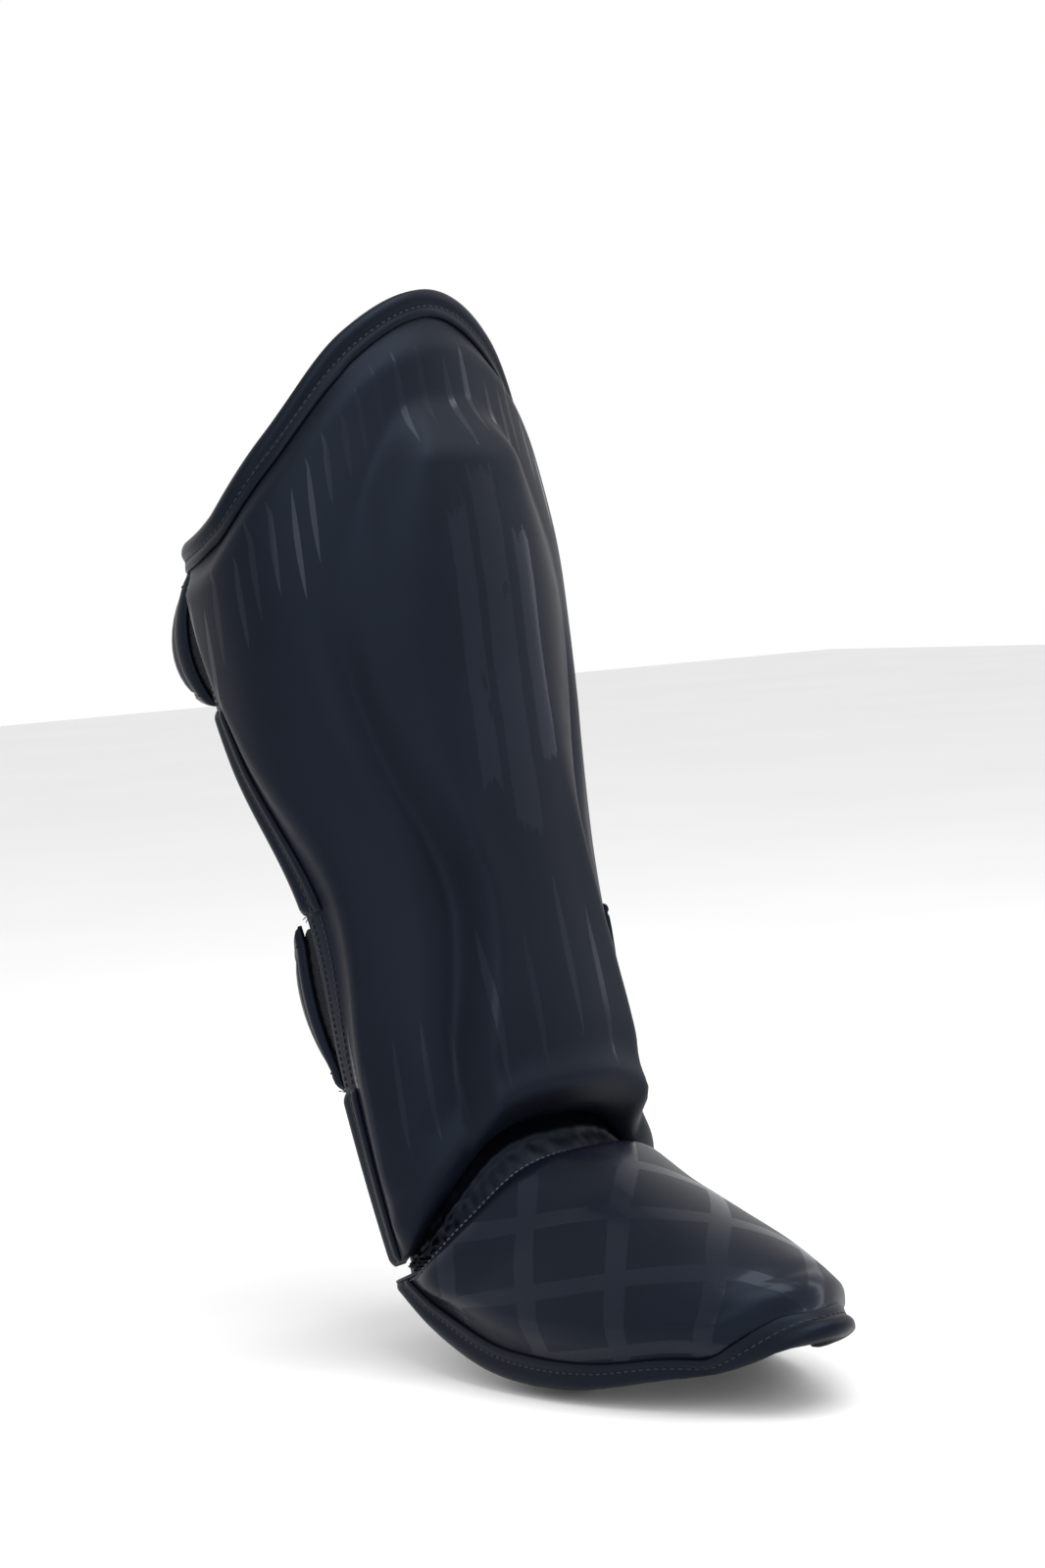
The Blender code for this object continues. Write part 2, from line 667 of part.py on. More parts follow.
def main():
    for old in list(bpy.data.objects):
        bpy.data.objects.remove(old, do_unlink=True)
    make_shin_pad()
    make_foot_pad()
    make_gusset()
    straps = (
        ("calf", CALF_STRAP_HEIGHT, CALF_STRAP_WIDTH, CALF_STRAP_BOW, CALF_STRAP_CROWN, CALF_LAP, CALF_BAND),
        ("ankle", ANKLE_STRAP_HEIGHT, ANKLE_STRAP_WIDTH, ANKLE_STRAP_BOW, ANKLE_STRAP_CROWN, ANKLE_LAP,
         ANKLE_BAND),
    )
    for word, height, width, bow, crown, lap, bands in straps:
        make_elastic(word + "_elastic_left", height, width, bow, crown)
        make_strap(word + "_strap", height, width, bow, crown, lap, bands)
        make_closure(word + "_closure", height, width, lap)
    make_sole_strap()


main()
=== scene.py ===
"""A muay thai shin guard: moulded pads under glossy leather, folded tape, straps and an ankle panel.

Metres, in the frame's own place: +Z up the leg and the toes towards -Y.
"""
import math
from functools import lru_cache, partialmethod, reduce

import bmesh
import bpy
import numpy as np
from bpy.props import FloatProperty, FloatVectorProperty, PointerProperty
from mathutils import Matrix, Vector


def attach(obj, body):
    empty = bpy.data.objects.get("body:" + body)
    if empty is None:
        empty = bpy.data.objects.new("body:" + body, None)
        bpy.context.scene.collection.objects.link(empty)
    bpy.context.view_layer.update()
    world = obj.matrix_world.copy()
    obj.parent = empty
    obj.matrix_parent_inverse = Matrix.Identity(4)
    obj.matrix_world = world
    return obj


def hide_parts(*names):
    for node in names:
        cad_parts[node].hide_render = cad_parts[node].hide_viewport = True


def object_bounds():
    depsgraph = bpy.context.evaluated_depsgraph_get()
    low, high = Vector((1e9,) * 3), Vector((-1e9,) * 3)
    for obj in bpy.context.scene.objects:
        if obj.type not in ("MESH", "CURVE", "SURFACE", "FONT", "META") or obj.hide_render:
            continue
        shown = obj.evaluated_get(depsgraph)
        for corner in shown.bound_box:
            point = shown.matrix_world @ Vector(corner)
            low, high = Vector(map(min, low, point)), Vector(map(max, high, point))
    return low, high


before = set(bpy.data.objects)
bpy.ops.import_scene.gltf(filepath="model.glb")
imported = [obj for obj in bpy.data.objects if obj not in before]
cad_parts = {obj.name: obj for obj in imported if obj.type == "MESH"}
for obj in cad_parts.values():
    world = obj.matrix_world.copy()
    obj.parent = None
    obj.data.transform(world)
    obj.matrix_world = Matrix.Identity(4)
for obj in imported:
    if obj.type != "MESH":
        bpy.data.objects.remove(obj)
CAD_BOX = [[float(value) for value in corner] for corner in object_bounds()]

bl_info = {
    "name": "Shin guard",
    "version": (1, 0, 0),
    "blender": (4, 5, 0),
    "location": "3D View > Sidebar > Shin guard",
    "description": "Builds a padded shin guard from its sections",
    "category": "Add Mesh",
}

# Sizes shared with the part's source
SHIN_HEIGHT = 0.372
SHIN_LEAN = math.radians(16.0)
LEG_HALF = 0.084
LEG_FRONT = 0.056
LEG_BACK = 0.082
WRAP = math.radians(127.0)
APEX_SHIFT = 0.06
WING_WALL = 0.015
RAISE = 0.013
LIP = 0.016
FOOT_LENGTH = 0.183
INSTEP_DROP = 0.076
FLAP_DROP = 0.034
FOOT_WALL = 0.012
EDGE_WALL = 0.004
MARGIN = 0.011
SWELL = 0.016
ELASTIC = 0.002
STRAP_WALL = 0.0045
HOOK_TAPE = 0.0012
LAP_WALL = 0.55
GUSSET_WALL = 0.002
TUCK = 0.012
LAY = 0.0010
CALF_STRAP = {"height": 0.256, "width": 0.050, "bow": 0.020, "crown": 0.45, "lap": 0.034}
ANKLE_STRAP = {"height": 0.072, "width": 0.052, "bow": 0.005, "crown": 0.75, "lap": 0.021}
LEAST_BOW = 0.1
SOLE_STRAP_WIDTH = 0.036
SOLE_STRAP_PLACE = 0.42
SOLE_STRAP_TURN = 0.015
# Sole strap inside the flap: distance in from the flap's edge, and clearance off its face
SOLE_STRAP_RUN = [(0.038, 0.0004), (0.031, 0.0004), (0.024, 0.0004), (0.0195, 0.0022), (0.015, 0.0038)]
# Straps: where the left end starts, where it is clear of the pad, and where the right lap begins
STRAP_START = 0.014
STRAP_CLEAR = 0.045
LAP_START = 0.004
STRAP_SEAT = LAY + HOOK_TAPE + LAY
STRAP_ACROSS = [-1, -0.975, -0.93, -0.86, -0.80, -0.765, -0.72, -0.6, -0.45, -0.3, -0.15, 0,
                0.15, 0.3, 0.45, 0.6, 0.72, 0.765, 0.80, 0.86, 0.93, 0.975, 1]
STRAP_EDGE = 0.42
STRAP_CROWN = 0.016
STRAP_RIM = 0.22
RIBS = 24
RIB_HEIGHT = 0.00018

# Small relief and sewing
CREST = 0.0010
LIP_ROLL = 0.0012
SEAM_RADIUS = 0.0011
TAPE_STITCH_LIFT = 0.0012
THREAD_REACH = 0.0042

# Finishes and the panel's folds, in radians for each metre along it
LEATHER_SHINE = 0.17
FOLD_RATE = 560
FINE_FOLD_RATE = 990
FOLD_DRIFT_RATE = 90
FOLD_SLANT = 14.0
PANEL_STEP = 0.0018
PANEL_RIDGE = 0.0013
PANEL_SHARE = 0.992
# Worn upright bands of gloss, also lighter in colour as painted sheen: centre and half width across, lowest
# and highest place
WORN_AND_SHEEN_BANDS = [(-0.012, 0.0048, 0.150, 0.276), (0.003, 0.0062, 0.128, 0.290), (0.019, 0.0044, 0.160, 0.262)]
LATTICE_SLOPE = 0.75
LATTICE_PITCH = 0.046

# Stage
CAMERA_TURN = (-38.7, 4.0, -3.5)
CAMERA_TARGET = (0.0, -0.0152, 0.1542)
CAMERA_DISTANCE = 1.557
CAMERA_LENS = 80.0
LAMPS = (
    ("overhead", (0.0, -0.7, 1.7), (1.6, 1.6), 30.0),
    ("front", (-1.4, -1.3, 0.9), (1.5, 1.5), 10.0),
    ("rim", (1.2, -0.5, 0.7), (0.25, 1.3), 3.2),
)

# Grids: a probe's step, and how far a slant or a short row may stretch the edge distances
SKIN_STEP = 0.01
MOST_SLANT = 0.75
MOST_EDGE = 0.32
# Distances in from an edge where the fine grids have a line
EDGE_STEPS = [0.0008, 0.0018, 0.003, 0.0045, 0.006, 0.0075, 0.009, 0.0102, 0.011,
              0.0122, 0.014, 0.0165, 0.0195, 0.023, 0.027]
STITCH_ROW = 5
TAPE_ROWS = 10


def table(columns, rows):
    """A short table with named columns, read at the places in its first column."""
    sheet = {name: np.array(values, float) for name, values in zip(columns.split(), zip(*rows))}
    places = next(iter(sheet.values()))
    slopes = {name + " slope": np.gradient(values, places) for name, values in sheet.items()}
    return sheet | slopes


def read(sheet, column, place):
    """A column's value at a place, on a smooth curve through the table's rows."""
    places = next(iter(sheet.values()))
    values = sheet[column]
    slopes = sheet[column + " slope"]
    place = np.minimum(np.maximum(place, places[0]), places[-1])
    row = np.minimum(np.searchsorted(places, place, side="right"), len(places) - 1) - 1
    span = places[row + 1] - places[row]
    t = (place - places[row]) / span
    start = values[row] * (2 * t**3 - 3 * t**2 + 1) + span * slopes[row] * (t**3 - 2 * t**2 + t)
    end = values[row + 1] * (3 * t**2 - 2 * t**3) + span * slopes[row + 1] * (t**3 - t**2)
    return start + end


def ease(value, low, high):
    """0 below low, 1 above high and a smooth ramp between."""
    t = np.clip((value - low) / (high - low), 0.0, 1.0)
    return t * t * (3 - 2 * t)


def bump_at(value, middle, half):
    """A smooth hump of height 1 round a middle."""
    return np.exp(-((value - middle) / half) ** 2)


# Leg sections, as shares of SHIN_HEIGHT, LEG_HALF, LEG_FRONT, LEG_BACK, LEG_FRONT and WRAP.
LEG = table("height half_width front back axis wrap", [
    (-0.24, 0.71, 0.52, 0.54, 0.24, 0.90),
    (-0.08, 0.75, 0.62, 0.60, 0.29, 0.88),
    (0.08, 0.78, 0.71, 0.65, 0.34, 0.83),
    (0.30, 0.83, 0.78, 0.73, 0.36, 0.74),
    (0.51, 0.95, 0.89, 0.95, 0.30, 0.87),
    (0.70, 1.00, 0.97, 1.01, 0.16, 0.99),
    (0.89, 0.94, 1.00, 1.00, 0.09, 1.00),
    (1.05, 0.91, 1.05, 0.97, 0.02, 0.99),
])
# Upper and lower edge of the shin pad, as shares of SHIN_HEIGHT.
EDGES = table("across top bottom", [
    (-0.25, 0.968, -0.012),
    (0.0, 1.012, 0.000),
    (0.25, 0.968, -0.012),
    (0.5, 0.862, -0.069),
    (0.75, 0.786, -0.118),
    (1.0, 0.790, -0.134),
])
# Padding: wing as a share of WING_WALL, the raised middle's sides and their blend of LEG_HALF.
PADDING = table("height wing left right blend", [
    (-0.24, 0.73, 0.50, 0.57, 0.11),
    (0.00, 0.80, 0.47, 0.55, 0.10),
    (0.10, 0.82, 0.42, 0.52, 0.10),
    (0.20, 0.84, 0.33, 0.49, 0.10),
    (0.27, 0.85, 0.31, 0.47, 0.10),
    (0.35, 0.83, 0.38, 0.46, 0.12),
    (0.44, 0.79, 0.51, 0.51, 0.22),
    (0.62, 0.72, 0.60, 0.60, 0.36),
    (0.74, 0.70, 0.48, 0.50, 0.24),
    (0.82, 0.69, 0.32, 0.40, 0.15),
    (0.90, 0.66, 0.12, 0.20, 0.10),
])
RAISE_TOP = (0.79, 0.885)
# Instep sections, as shares of FOOT_LENGTH, INSTEP_DROP, the ankle's half width, FLAP_DROP and
# a right angle.
FOOT = table("along forward drop half_width edge_forward edge_drop turn", [
    (0.0, 0.115, 0.27, 0.95, -0.04, 0.24, 1.00),
    (0.2, 0.29, 0.38, 1.00, 0.12, 0.66, 1.00),
    (0.45, 0.51, 0.55, 1.02, 0.38, 1.08, 0.98),
    (0.7, 0.73, 0.72, 0.90, 0.65, 1.08, 0.90),
    (0.9, 0.90, 0.90, 0.66, 0.86, 0.80, 0.74),
    (1.0, 0.975, 0.99, 0.48, 0.945, 0.70, 0.60),
])
REAR = table("across forward drop inset", [
    (-0.25, 0.105, 0.24, 0.99),
    (0.0, 0.115, 0.265, 1.00),
    (0.25, 0.105, 0.24, 0.99),
    (0.5, 0.075, 0.18, 0.98),
    (0.75, 0.030, 0.12, 0.97),
    (1.0, -0.020, 0.10, 0.95),
])
REAR_BLEND = 0.30
# Straps past the left edge: lift is a share of the bow, low and high of the strap's width.
CALF_BAND = table("distance lift low high", [
    (0.014, 0.50, -0.70, 0.68),
    (0.021, 0.82, -0.66, 0.63),
    (0.030, 1.00, -0.58, 0.57),
    (0.045, 1.00, -0.50, 0.50),
])
ANKLE_BAND = table("distance lift low high", [
    (0.014, 0.50, -0.74, 0.72),
    (0.021, 0.82, -0.68, 0.66),
    (0.030, 1.00, -0.59, 0.58),
    (0.045, 1.00, -0.50, 0.50),
])
ELASTIC_BAND = table("distance lift low high", [
    (-0.012, 0.0, -0.70, 0.42),
    (0.000, 0.0, -0.74, 0.46),
    (0.004, 0.10, -0.76, 0.58),
    (0.009, 0.27, -0.74, 0.66),
    (0.014, 0.50, -0.70, 0.65),
    (0.021, 0.82, -0.66, 0.60),
    (0.026, 0.94, -0.60, 0.56),
])
# Folded tape: the grid line it lies over, its height off the face and its reach past the edge.
TAPE_OUTSIDE = [
    (9, 0.0003, 0.0), (9, 0.0011, 0.0), (8, 0.0017, 0.0), (7, 0.0019, 0.0), (6, 0.0017, 0.0),
    (5, 0.0010, 0.0), (4, 0.0019, 0.0), (3, 0.0025, 0.0), (2, 0.0027, 0.0), (1, 0.0024, 0.0007),
    (0, 0.0014, 0.0017),
]
TAPE_INSIDE = [
    (0, 0.0011, 0.0016), (1, 0.0017, 0.0006), (2, 0.0018, 0.0), (4, 0.0017, 0.0),
    (6, 0.0016, 0.0), (7, 0.0013, 0.0), (7, 0.0004, 0.0),
]


def lean(x, y, z):
    """Tips the upright leg back and gives its points as one array."""
    cos, sin = math.cos(SHIN_LEAN), math.sin(SHIN_LEAN)
    return np.stack(np.broadcast_arrays(x, y * cos + z * sin, z * cos - y * sin), -1)


def leg(angle, height):
    """A point of the leg's oval. The angle starts at the front and grows towards +X."""
    share = height / SHIN_HEIGHT
    cos = np.cos(angle)
    front = LEG_FRONT * read(LEG, "front", share)
    depth = np.where(cos > 0, front, LEG_BACK * read(LEG, "back", share))
    x = LEG_HALF * read(LEG, "half_width", share) * np.sin(angle)
    y = LEG_FRONT * read(LEG, "axis", share) - depth * cos
    return lean(x, y, height)


def wrap_at(height):
    return WRAP * read(LEG, "wrap", height / SHIN_HEIGHT)


def pad_place(across, up):
    """Angle and height on the leg of a place on the pad, from -1 to 1 across and 0 to 1 up."""
    side = np.minimum(np.abs(across), 1.0)
    from_apex = np.minimum(np.abs(across - APEX_SHIFT * (1 - side)), 1.0)
    low = SHIN_HEIGHT * read(EDGES, "bottom", side)
    high = SHIN_HEIGHT * read(EDGES, "top", from_apex)
    height = low + (high - low) * up
    return across * wrap_at(height), height


def pad_skin(across, up):
    return leg(*pad_place(across, up))


ARCH = pad_skin(0.0, 0.0)
ANKLE_CORNER = pad_skin(1.0, 0.0)
SEAT = leg(0.0, 0.5 * SHIN_HEIGHT)


def rear_edge(across):
    """The instep pad's rear edge, a little forward of the pad's arch and below it."""
    side = np.abs(across)
    arch = pad_skin(across, 0.0)
    x = arch[..., 0] * read(REAR, "inset", side)
    y = arch[..., 1] - FOOT_LENGTH * read(REAR, "forward", side)
    z = arch[..., 2] - INSTEP_DROP * read(REAR, "drop", side)
    return np.stack(np.broadcast_arrays(x, y, z), -1)


def foot_section(across, along):
    """The instep's own sections, before its rear edge is led to the arch."""
    ridge_y = ARCH[1] - FOOT_LENGTH * read(FOOT, "forward", along)
    ridge_z = ARCH[2] - INSTEP_DROP * read(FOOT, "drop", along)
    edge_x = ANKLE_CORNER[0] * read(FOOT, "half_width", along)
    edge_y = ANKLE_CORNER[1] - FOOT_LENGTH * read(FOOT, "edge_forward", along)
    edge_z = ANKLE_CORNER[2] - FLAP_DROP * read(FOOT, "edge_drop", along)
    most = read(FOOT, "turn", along) * math.pi / 2
    turn = across * most
    fall = (1 - np.cos(turn)) / (1 - np.cos(most))
    x = edge_x * np.sin(turn) / np.sin(most)
    y = ridge_y + (edge_y - ridge_y) * fall
    z = ridge_z + (edge_z - ridge_z) * fall
    return np.stack(np.broadcast_arrays(x, y, z), -1)


def foot_skin(across, along):
    """The instep pad's inner face, from -1 to 1 across and 0 at the ankle to 1 at the toes."""
    section = foot_section(across, along)
    start = rear_edge(np.clip(across, -1, 1)) - foot_section(across, 0.0)
    return section + start * (1 - ease(along, -0.05, REAR_BLEND))[..., None]


def unit(vectors):
    return vectors / np.maximum(np.linalg.norm(vectors, axis=-1, keepdims=True), 1e-12)


def skin_normal(skin, first, second, step):
    along = skin(first + step, second) - skin(first - step, second)
    up = skin(first, second + step) - skin(first, second - step)
    return unit(np.cross(along, up))


def leg_point(angle, height, offset):
    return leg(angle, height) + skin_normal(leg, angle, height, 0.002) * offset[..., None]


def foot_point(across, along, offset):
    normal = -skin_normal(foot_skin, across, np.clip(along, 0.01, 0.99), 0.01)
    return foot_skin(across, along) + normal * offset[..., None]


def lengths(points):
    """Distance run along a line of points."""
    return np.concatenate([[0.0], np.cumsum(np.linalg.norm(np.diff(points, axis=0), axis=1))])


def spaced(total, start, end, count):
    """Places along a length: set distances from both ends, and even ones between them."""
    middle = np.linspace(start[-1], total - end[-1], count + 2)[1:-1]
    return np.concatenate([[0.0], start, middle, total - end[::-1], [total]])


def slant(skin, u, v):
    """How much a distance square to an edge grows when it is measured along the grid instead."""
    low, high = np.clip(v - SKIN_STEP, 0, 1), np.clip(v + SKIN_STEP, 0, 1)
    across = unit(skin(u + SKIN_STEP, v) - skin(u - SKIN_STEP, v))
    up = unit(skin(u, high) - skin(u, low))
    return 1 / np.maximum(np.linalg.norm(np.cross(across, up)), MOST_SLANT)


def lay_grid(skin, side, bottom, top, columns, rows):
    """Places of a pad's grid, and each one's distance from the sides, the bottom and the top."""
    fine = np.linspace(-1, 1, 161)
    up = np.linspace(0, 1, 161)
    ups, heights, totals = [], [], []
    for u in fine:
        run = lengths(skin(np.full_like(up, u), up))
        near = slant(skin, u, 0.0) * np.array(bottom)
        far = slant(skin, u, 1.0) * np.array(top)
        places = spaced(run[-1], near, far, rows)
        ups.append(np.interp(places, run, up))
        heights.append(places)
        totals.append(run[-1])
    ups, heights, totals = np.array(ups).T, np.array(heights).T, np.array(totals)
    grid = {name: [] for name in ("across", "up", "side", "bottom", "top", "lateral")}
    for row_up, row_height in zip(ups, heights):
        run = lengths(skin(fine, row_up))
        most = MOST_EDGE * run[-1] / side[-1]
        ends = ((-1.0, row_up[0]), (1.0, row_up[-1]))
        edges = [min(most, slant(skin, u, v)) * np.array(side) for u, v in ends]
        places = spaced(run[-1], edges[0], edges[1], columns)
        across = np.interp(places, run, fine)
        nearest = np.minimum(places / edges[0][0], (run[-1] - places) / edges[1][0]) * side[0]
        grid["across"].append(across)
        grid["up"].append(np.interp(across, fine, row_up))
        grid["side"].append(nearest)
        grid["bottom"].append(np.interp(across, fine, row_height))
        grid["top"].append(np.interp(across, fine, totals - row_height))
        grid["lateral"].append(places - run[-1] / 2)
    return {name: np.array(values) for name, values in grid.items()}


def read_side(lateral, share):
    """Half width of the raised middle on the side that a place lies on, as a share of LEG_HALF."""
    return np.where(lateral < 0, read(PADDING, "left", share), read(PADDING, "right", share))


def pad_wall(height, side, top, bottom, lateral):
    """Thickness of the shin pad: thin bound edges, a full wing, a raised middle, a round lip."""
    share = height / SHIN_HEIGHT
    middle = LEG_HALF * read_side(lateral, share)
    blend = LEG_HALF * read(PADDING, "blend", share)
    border = ease(np.abs(lateral), middle - blend, middle + blend)
    raised = (1 - border) * (1 - ease(share, *RAISE_TOP))
    full = WING_WALL * read(PADDING, "wing", share) + RAISE * raised
    inland = ease(np.minimum(side, top), MARGIN, MARGIN + SWELL)
    round_lip = np.sqrt(1 - (1 - np.clip(bottom / LIP, 0, 1)) ** 2)
    return EDGE_WALL + (full - EDGE_WALL) * inland * round_lip


def moulding(height, lateral, bottom):
    """The shin pad's low relief: the valley beside the raised middle, and the swell outside it."""
    share = height / SHIN_HEIGHT
    border = LEG_HALF * (read_side(lateral, share) + 0.75 * read(PADDING, "blend", share))
    lateral = np.abs(lateral)
    low_half = ease(share, 0.0, 0.10) * (1 - ease(share, 0.50, 0.66))
    sizes = bpy.context.scene.guard_sizes
    valley = -sizes.valley_depth * bump_at(lateral, border, 0.0065) * low_half
    swell = sizes.swell_height * bump_at(lateral, border + 0.019, 0.012) * low_half
    crest = CREST * bump_at(lateral, border - 0.012, 0.008)
    lip = LIP_ROLL * (bump_at(bottom, 0.012, 0.006) - bump_at(bottom, 0.027, 0.008))
    return valley + swell + crest * low_half + lip


@lru_cache(maxsize=None)
def pad_faces():
    """The shin pad's fine grid: its inner and outer face, and where each point lies."""
    bottom = [0.0006, 0.0016, 0.003, 0.005, 0.0075, 0.0105, 0.0135, LIP, 0.019, 0.0225, 0.027]
    grid = lay_grid(pad_skin, EDGE_STEPS, bottom, EDGE_STEPS, 124, 156)
    angle, height = pad_place(grid["across"], grid["up"])
    lateral = grid["lateral"]
    wall = pad_wall(height, grid["side"], grid["top"], grid["bottom"], lateral)
    inland = ease(np.minimum(grid["side"], grid["top"]), MARGIN, MARGIN + SWELL)
    wall = wall + moulding(height, lateral, grid["bottom"]) * inland * ease(grid["bottom"], 0, 0.01)
    grid["height"] = height
    grid["inner"] = leg(angle, height) - SEAT
    grid["outer"] = leg_point(angle, height, wall) - SEAT
    return grid


@lru_cache(maxsize=None)
def foot_faces():
    """The instep pad's fine grid: its inner and outer face, and where each point lies."""
    rear = [0.0006, 0.0016, 0.003, 0.005, 0.0075, 0.0105, FOOT_WALL]
    grid = lay_grid(foot_skin, EDGE_STEPS, rear, EDGE_STEPS, 74, 86)
    round_rear = np.sqrt(1 - (1 - np.clip(grid["bottom"] / FOOT_WALL, 0, 1)) ** 2)
    inland = ease(np.minimum(grid["side"], grid["top"]), MARGIN, MARGIN + SWELL)
    wall = EDGE_WALL + (FOOT_WALL - EDGE_WALL) * inland * round_rear
    side_way = np.abs(grid["lateral"])
    crease = bump_at(grid["top"], 0.030, 0.005) * (1 - ease(side_way, 0.012, 0.030))
    wall = wall - bpy.context.scene.guard_sizes.toe_crease * crease
    grid["inner"] = foot_skin(grid["across"], grid["up"]) - SEAT
    grid["outer"] = foot_point(grid["across"], grid["up"], wall) - SEAT
    return grid


def border(shell):
    return [edge for edge in shell.edges if edge.is_boundary]


def walled(name, outer, inner, finishes, lay=None, edge=None):
    """A closed wall: two grids bridged round their border, then laid on an outer and inner face."""
    rows, columns = outer.shape[:2]
    shell = bmesh.new()
    for level in (0.0, 1.0):
        bmesh.ops.create_grid(shell, x_segments=columns - 1, y_segments=rows - 1, size=1.0,
                              matrix=Matrix.Translation((0.0, 0.0, level)))
    bmesh.ops.bridge_loops(shell, edges=border(shell))
    bmesh.ops.recalc_face_normals(shell, faces=shell.faces)
    last = len(finishes) - 1
    for face in shell.faces:
        face.smooth = True
        face.material_index = 0 if face.calc_center_median().z > 0.25 else last
    faces = {1: outer, 0: inner}
    spots = {}
    for vertex in shell.verts:
        column = round((vertex.co.x + 1) / 2 * (columns - 1))
        row = round((vertex.co.y + 1) / 2 * (rows - 1))
        spots[vertex] = (row, column)
        vertex.co = faces[round(vertex.co.z)][row, column]
    if shell.calc_volume(signed=True) < 0:
        bmesh.ops.reverse_faces(shell, faces=shell.faces)
    for title, values in (("lay", lay), ("edge", edge)):
        if values is None:
            continue
        layer = shell.loops.layers.uv.new(title)
        for face in shell.faces:
            for loop in face.loops:
                loop[layer].uv = values[spots[loop.vert]]
    return as_piece(name, shell, finishes)


def as_piece(name, shell, finishes):
    mesh = bpy.data.meshes.new(name)
    shell.to_mesh(mesh)
    shell.free()
    piece = bpy.data.objects.new(name, mesh)
    bpy.context.collection.objects.link(piece)
    for finish in finishes:
        mesh.materials.append(finish)
    return piece


def set_up(piece, slot, *nodes):
    """Puts a piece on the frame and hides the solids it stands for. The slot is not used."""
    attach(piece, "root")
    if nodes:
        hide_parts(*nodes)
    return piece


def sew(name, runs, finish="thread", pitch=0.0036, length=0.0027, radius=0.00042):
    """Rows of sewn stitches. A run is a line of points and the normals of the face under it."""
    single = bmesh.new()
    bmesh.ops.create_uvsphere(single, u_segments=6, v_segments=6, radius=1.0)
    for face in single.faces:
        face.smooth = True
    form = bpy.data.meshes.new("stitch")
    single.to_mesh(form)
    single.free()
    shell = bmesh.new()
    for line, normals in runs:
        run = lengths(line)
        count = max(2, int(run[-1] / pitch))
        for place in (np.arange(count) + 0.5) * run[-1] / count:
            spot, ahead, normal = (
                np.array([np.interp(at, run, values[:, k]) for k in range(3)])
                for at, values in ((place, line), (place + 0.0005, line), (place, normals)))
            tangent = unit(ahead - spot)
            normal = unit(normal - tangent * np.dot(normal, tangent))
            across = np.cross(normal, tangent)
            turn = Matrix.Identity(4)
            for k, column in enumerate((tangent * length / 2, across * radius, normal * radius)):
                turn.col[k] = (*column, 0.0)
            turn.translation = Vector(spot)
            shell.from_mesh(form)
            shell.verts.ensure_lookup_table()
            for vertex in shell.verts[-len(form.vertices):]:
                vertex.co = turn @ vertex.co
    bpy.data.meshes.remove(form)
    set_up(as_piece(name, shell, [finish_of(finish)]), "binding_tape")


class Wire:
    """A socket of a material. Python's operators on it add Math nodes."""

    def __init__(self, tree, socket):
        self.tree = tree
        self.socket = socket

    def maths(self, operation, *values):
        settings = {"operation": operation}
        return add_node(self.tree, "ShaderNodeMath", settings, dict(enumerate((self, *values))))

    def __rsub__(self, other):
        return add_node(self.tree, "ShaderNodeMath", {"operation": "SUBTRACT"}, {0: other, 1: self})

    __add__ = __radd__ = partialmethod(maths, "ADD")
    __sub__ = partialmethod(maths, "SUBTRACT")
    __mul__ = __rmul__ = partialmethod(maths, "MULTIPLY")
    __truediv__ = partialmethod(maths, "DIVIDE")
    __lt__ = partialmethod(maths, "LESS_THAN")
    __gt__ = partialmethod(maths, "GREATER_THAN")
    whole = partialmethod(maths, "FLOOR")
    size = partialmethod(maths, "ABSOLUTE")
    most = partialmethod(maths, "MAXIMUM")
    least = partialmethod(maths, "MINIMUM")
    wave = partialmethod(maths, "SINE")

    def ramp(self, low, high):
        """0 at low, 1 at high and a smooth ramp between."""
        settings = {"interpolation_type": "SMOOTHSTEP"}
        values = {"Value": self, "From Min": low, "From Max": high}
        return add_node(self.tree, "ShaderNodeMapRange", settings, values)


def add_node(tree, kind, settings, values, output=0):
    """Any node: its settings first, then the values or links of its sockets."""
    made = tree.nodes.new(kind)
    for name, setting in settings.items():
        setattr(made, name, setting)
    for name, value in values.items():
        if isinstance(value, Wire):
            tree.links.new(value.socket, made.inputs[name])
        else:
            made.inputs[name].default_value = value
    return Wire(tree, made.outputs[output])


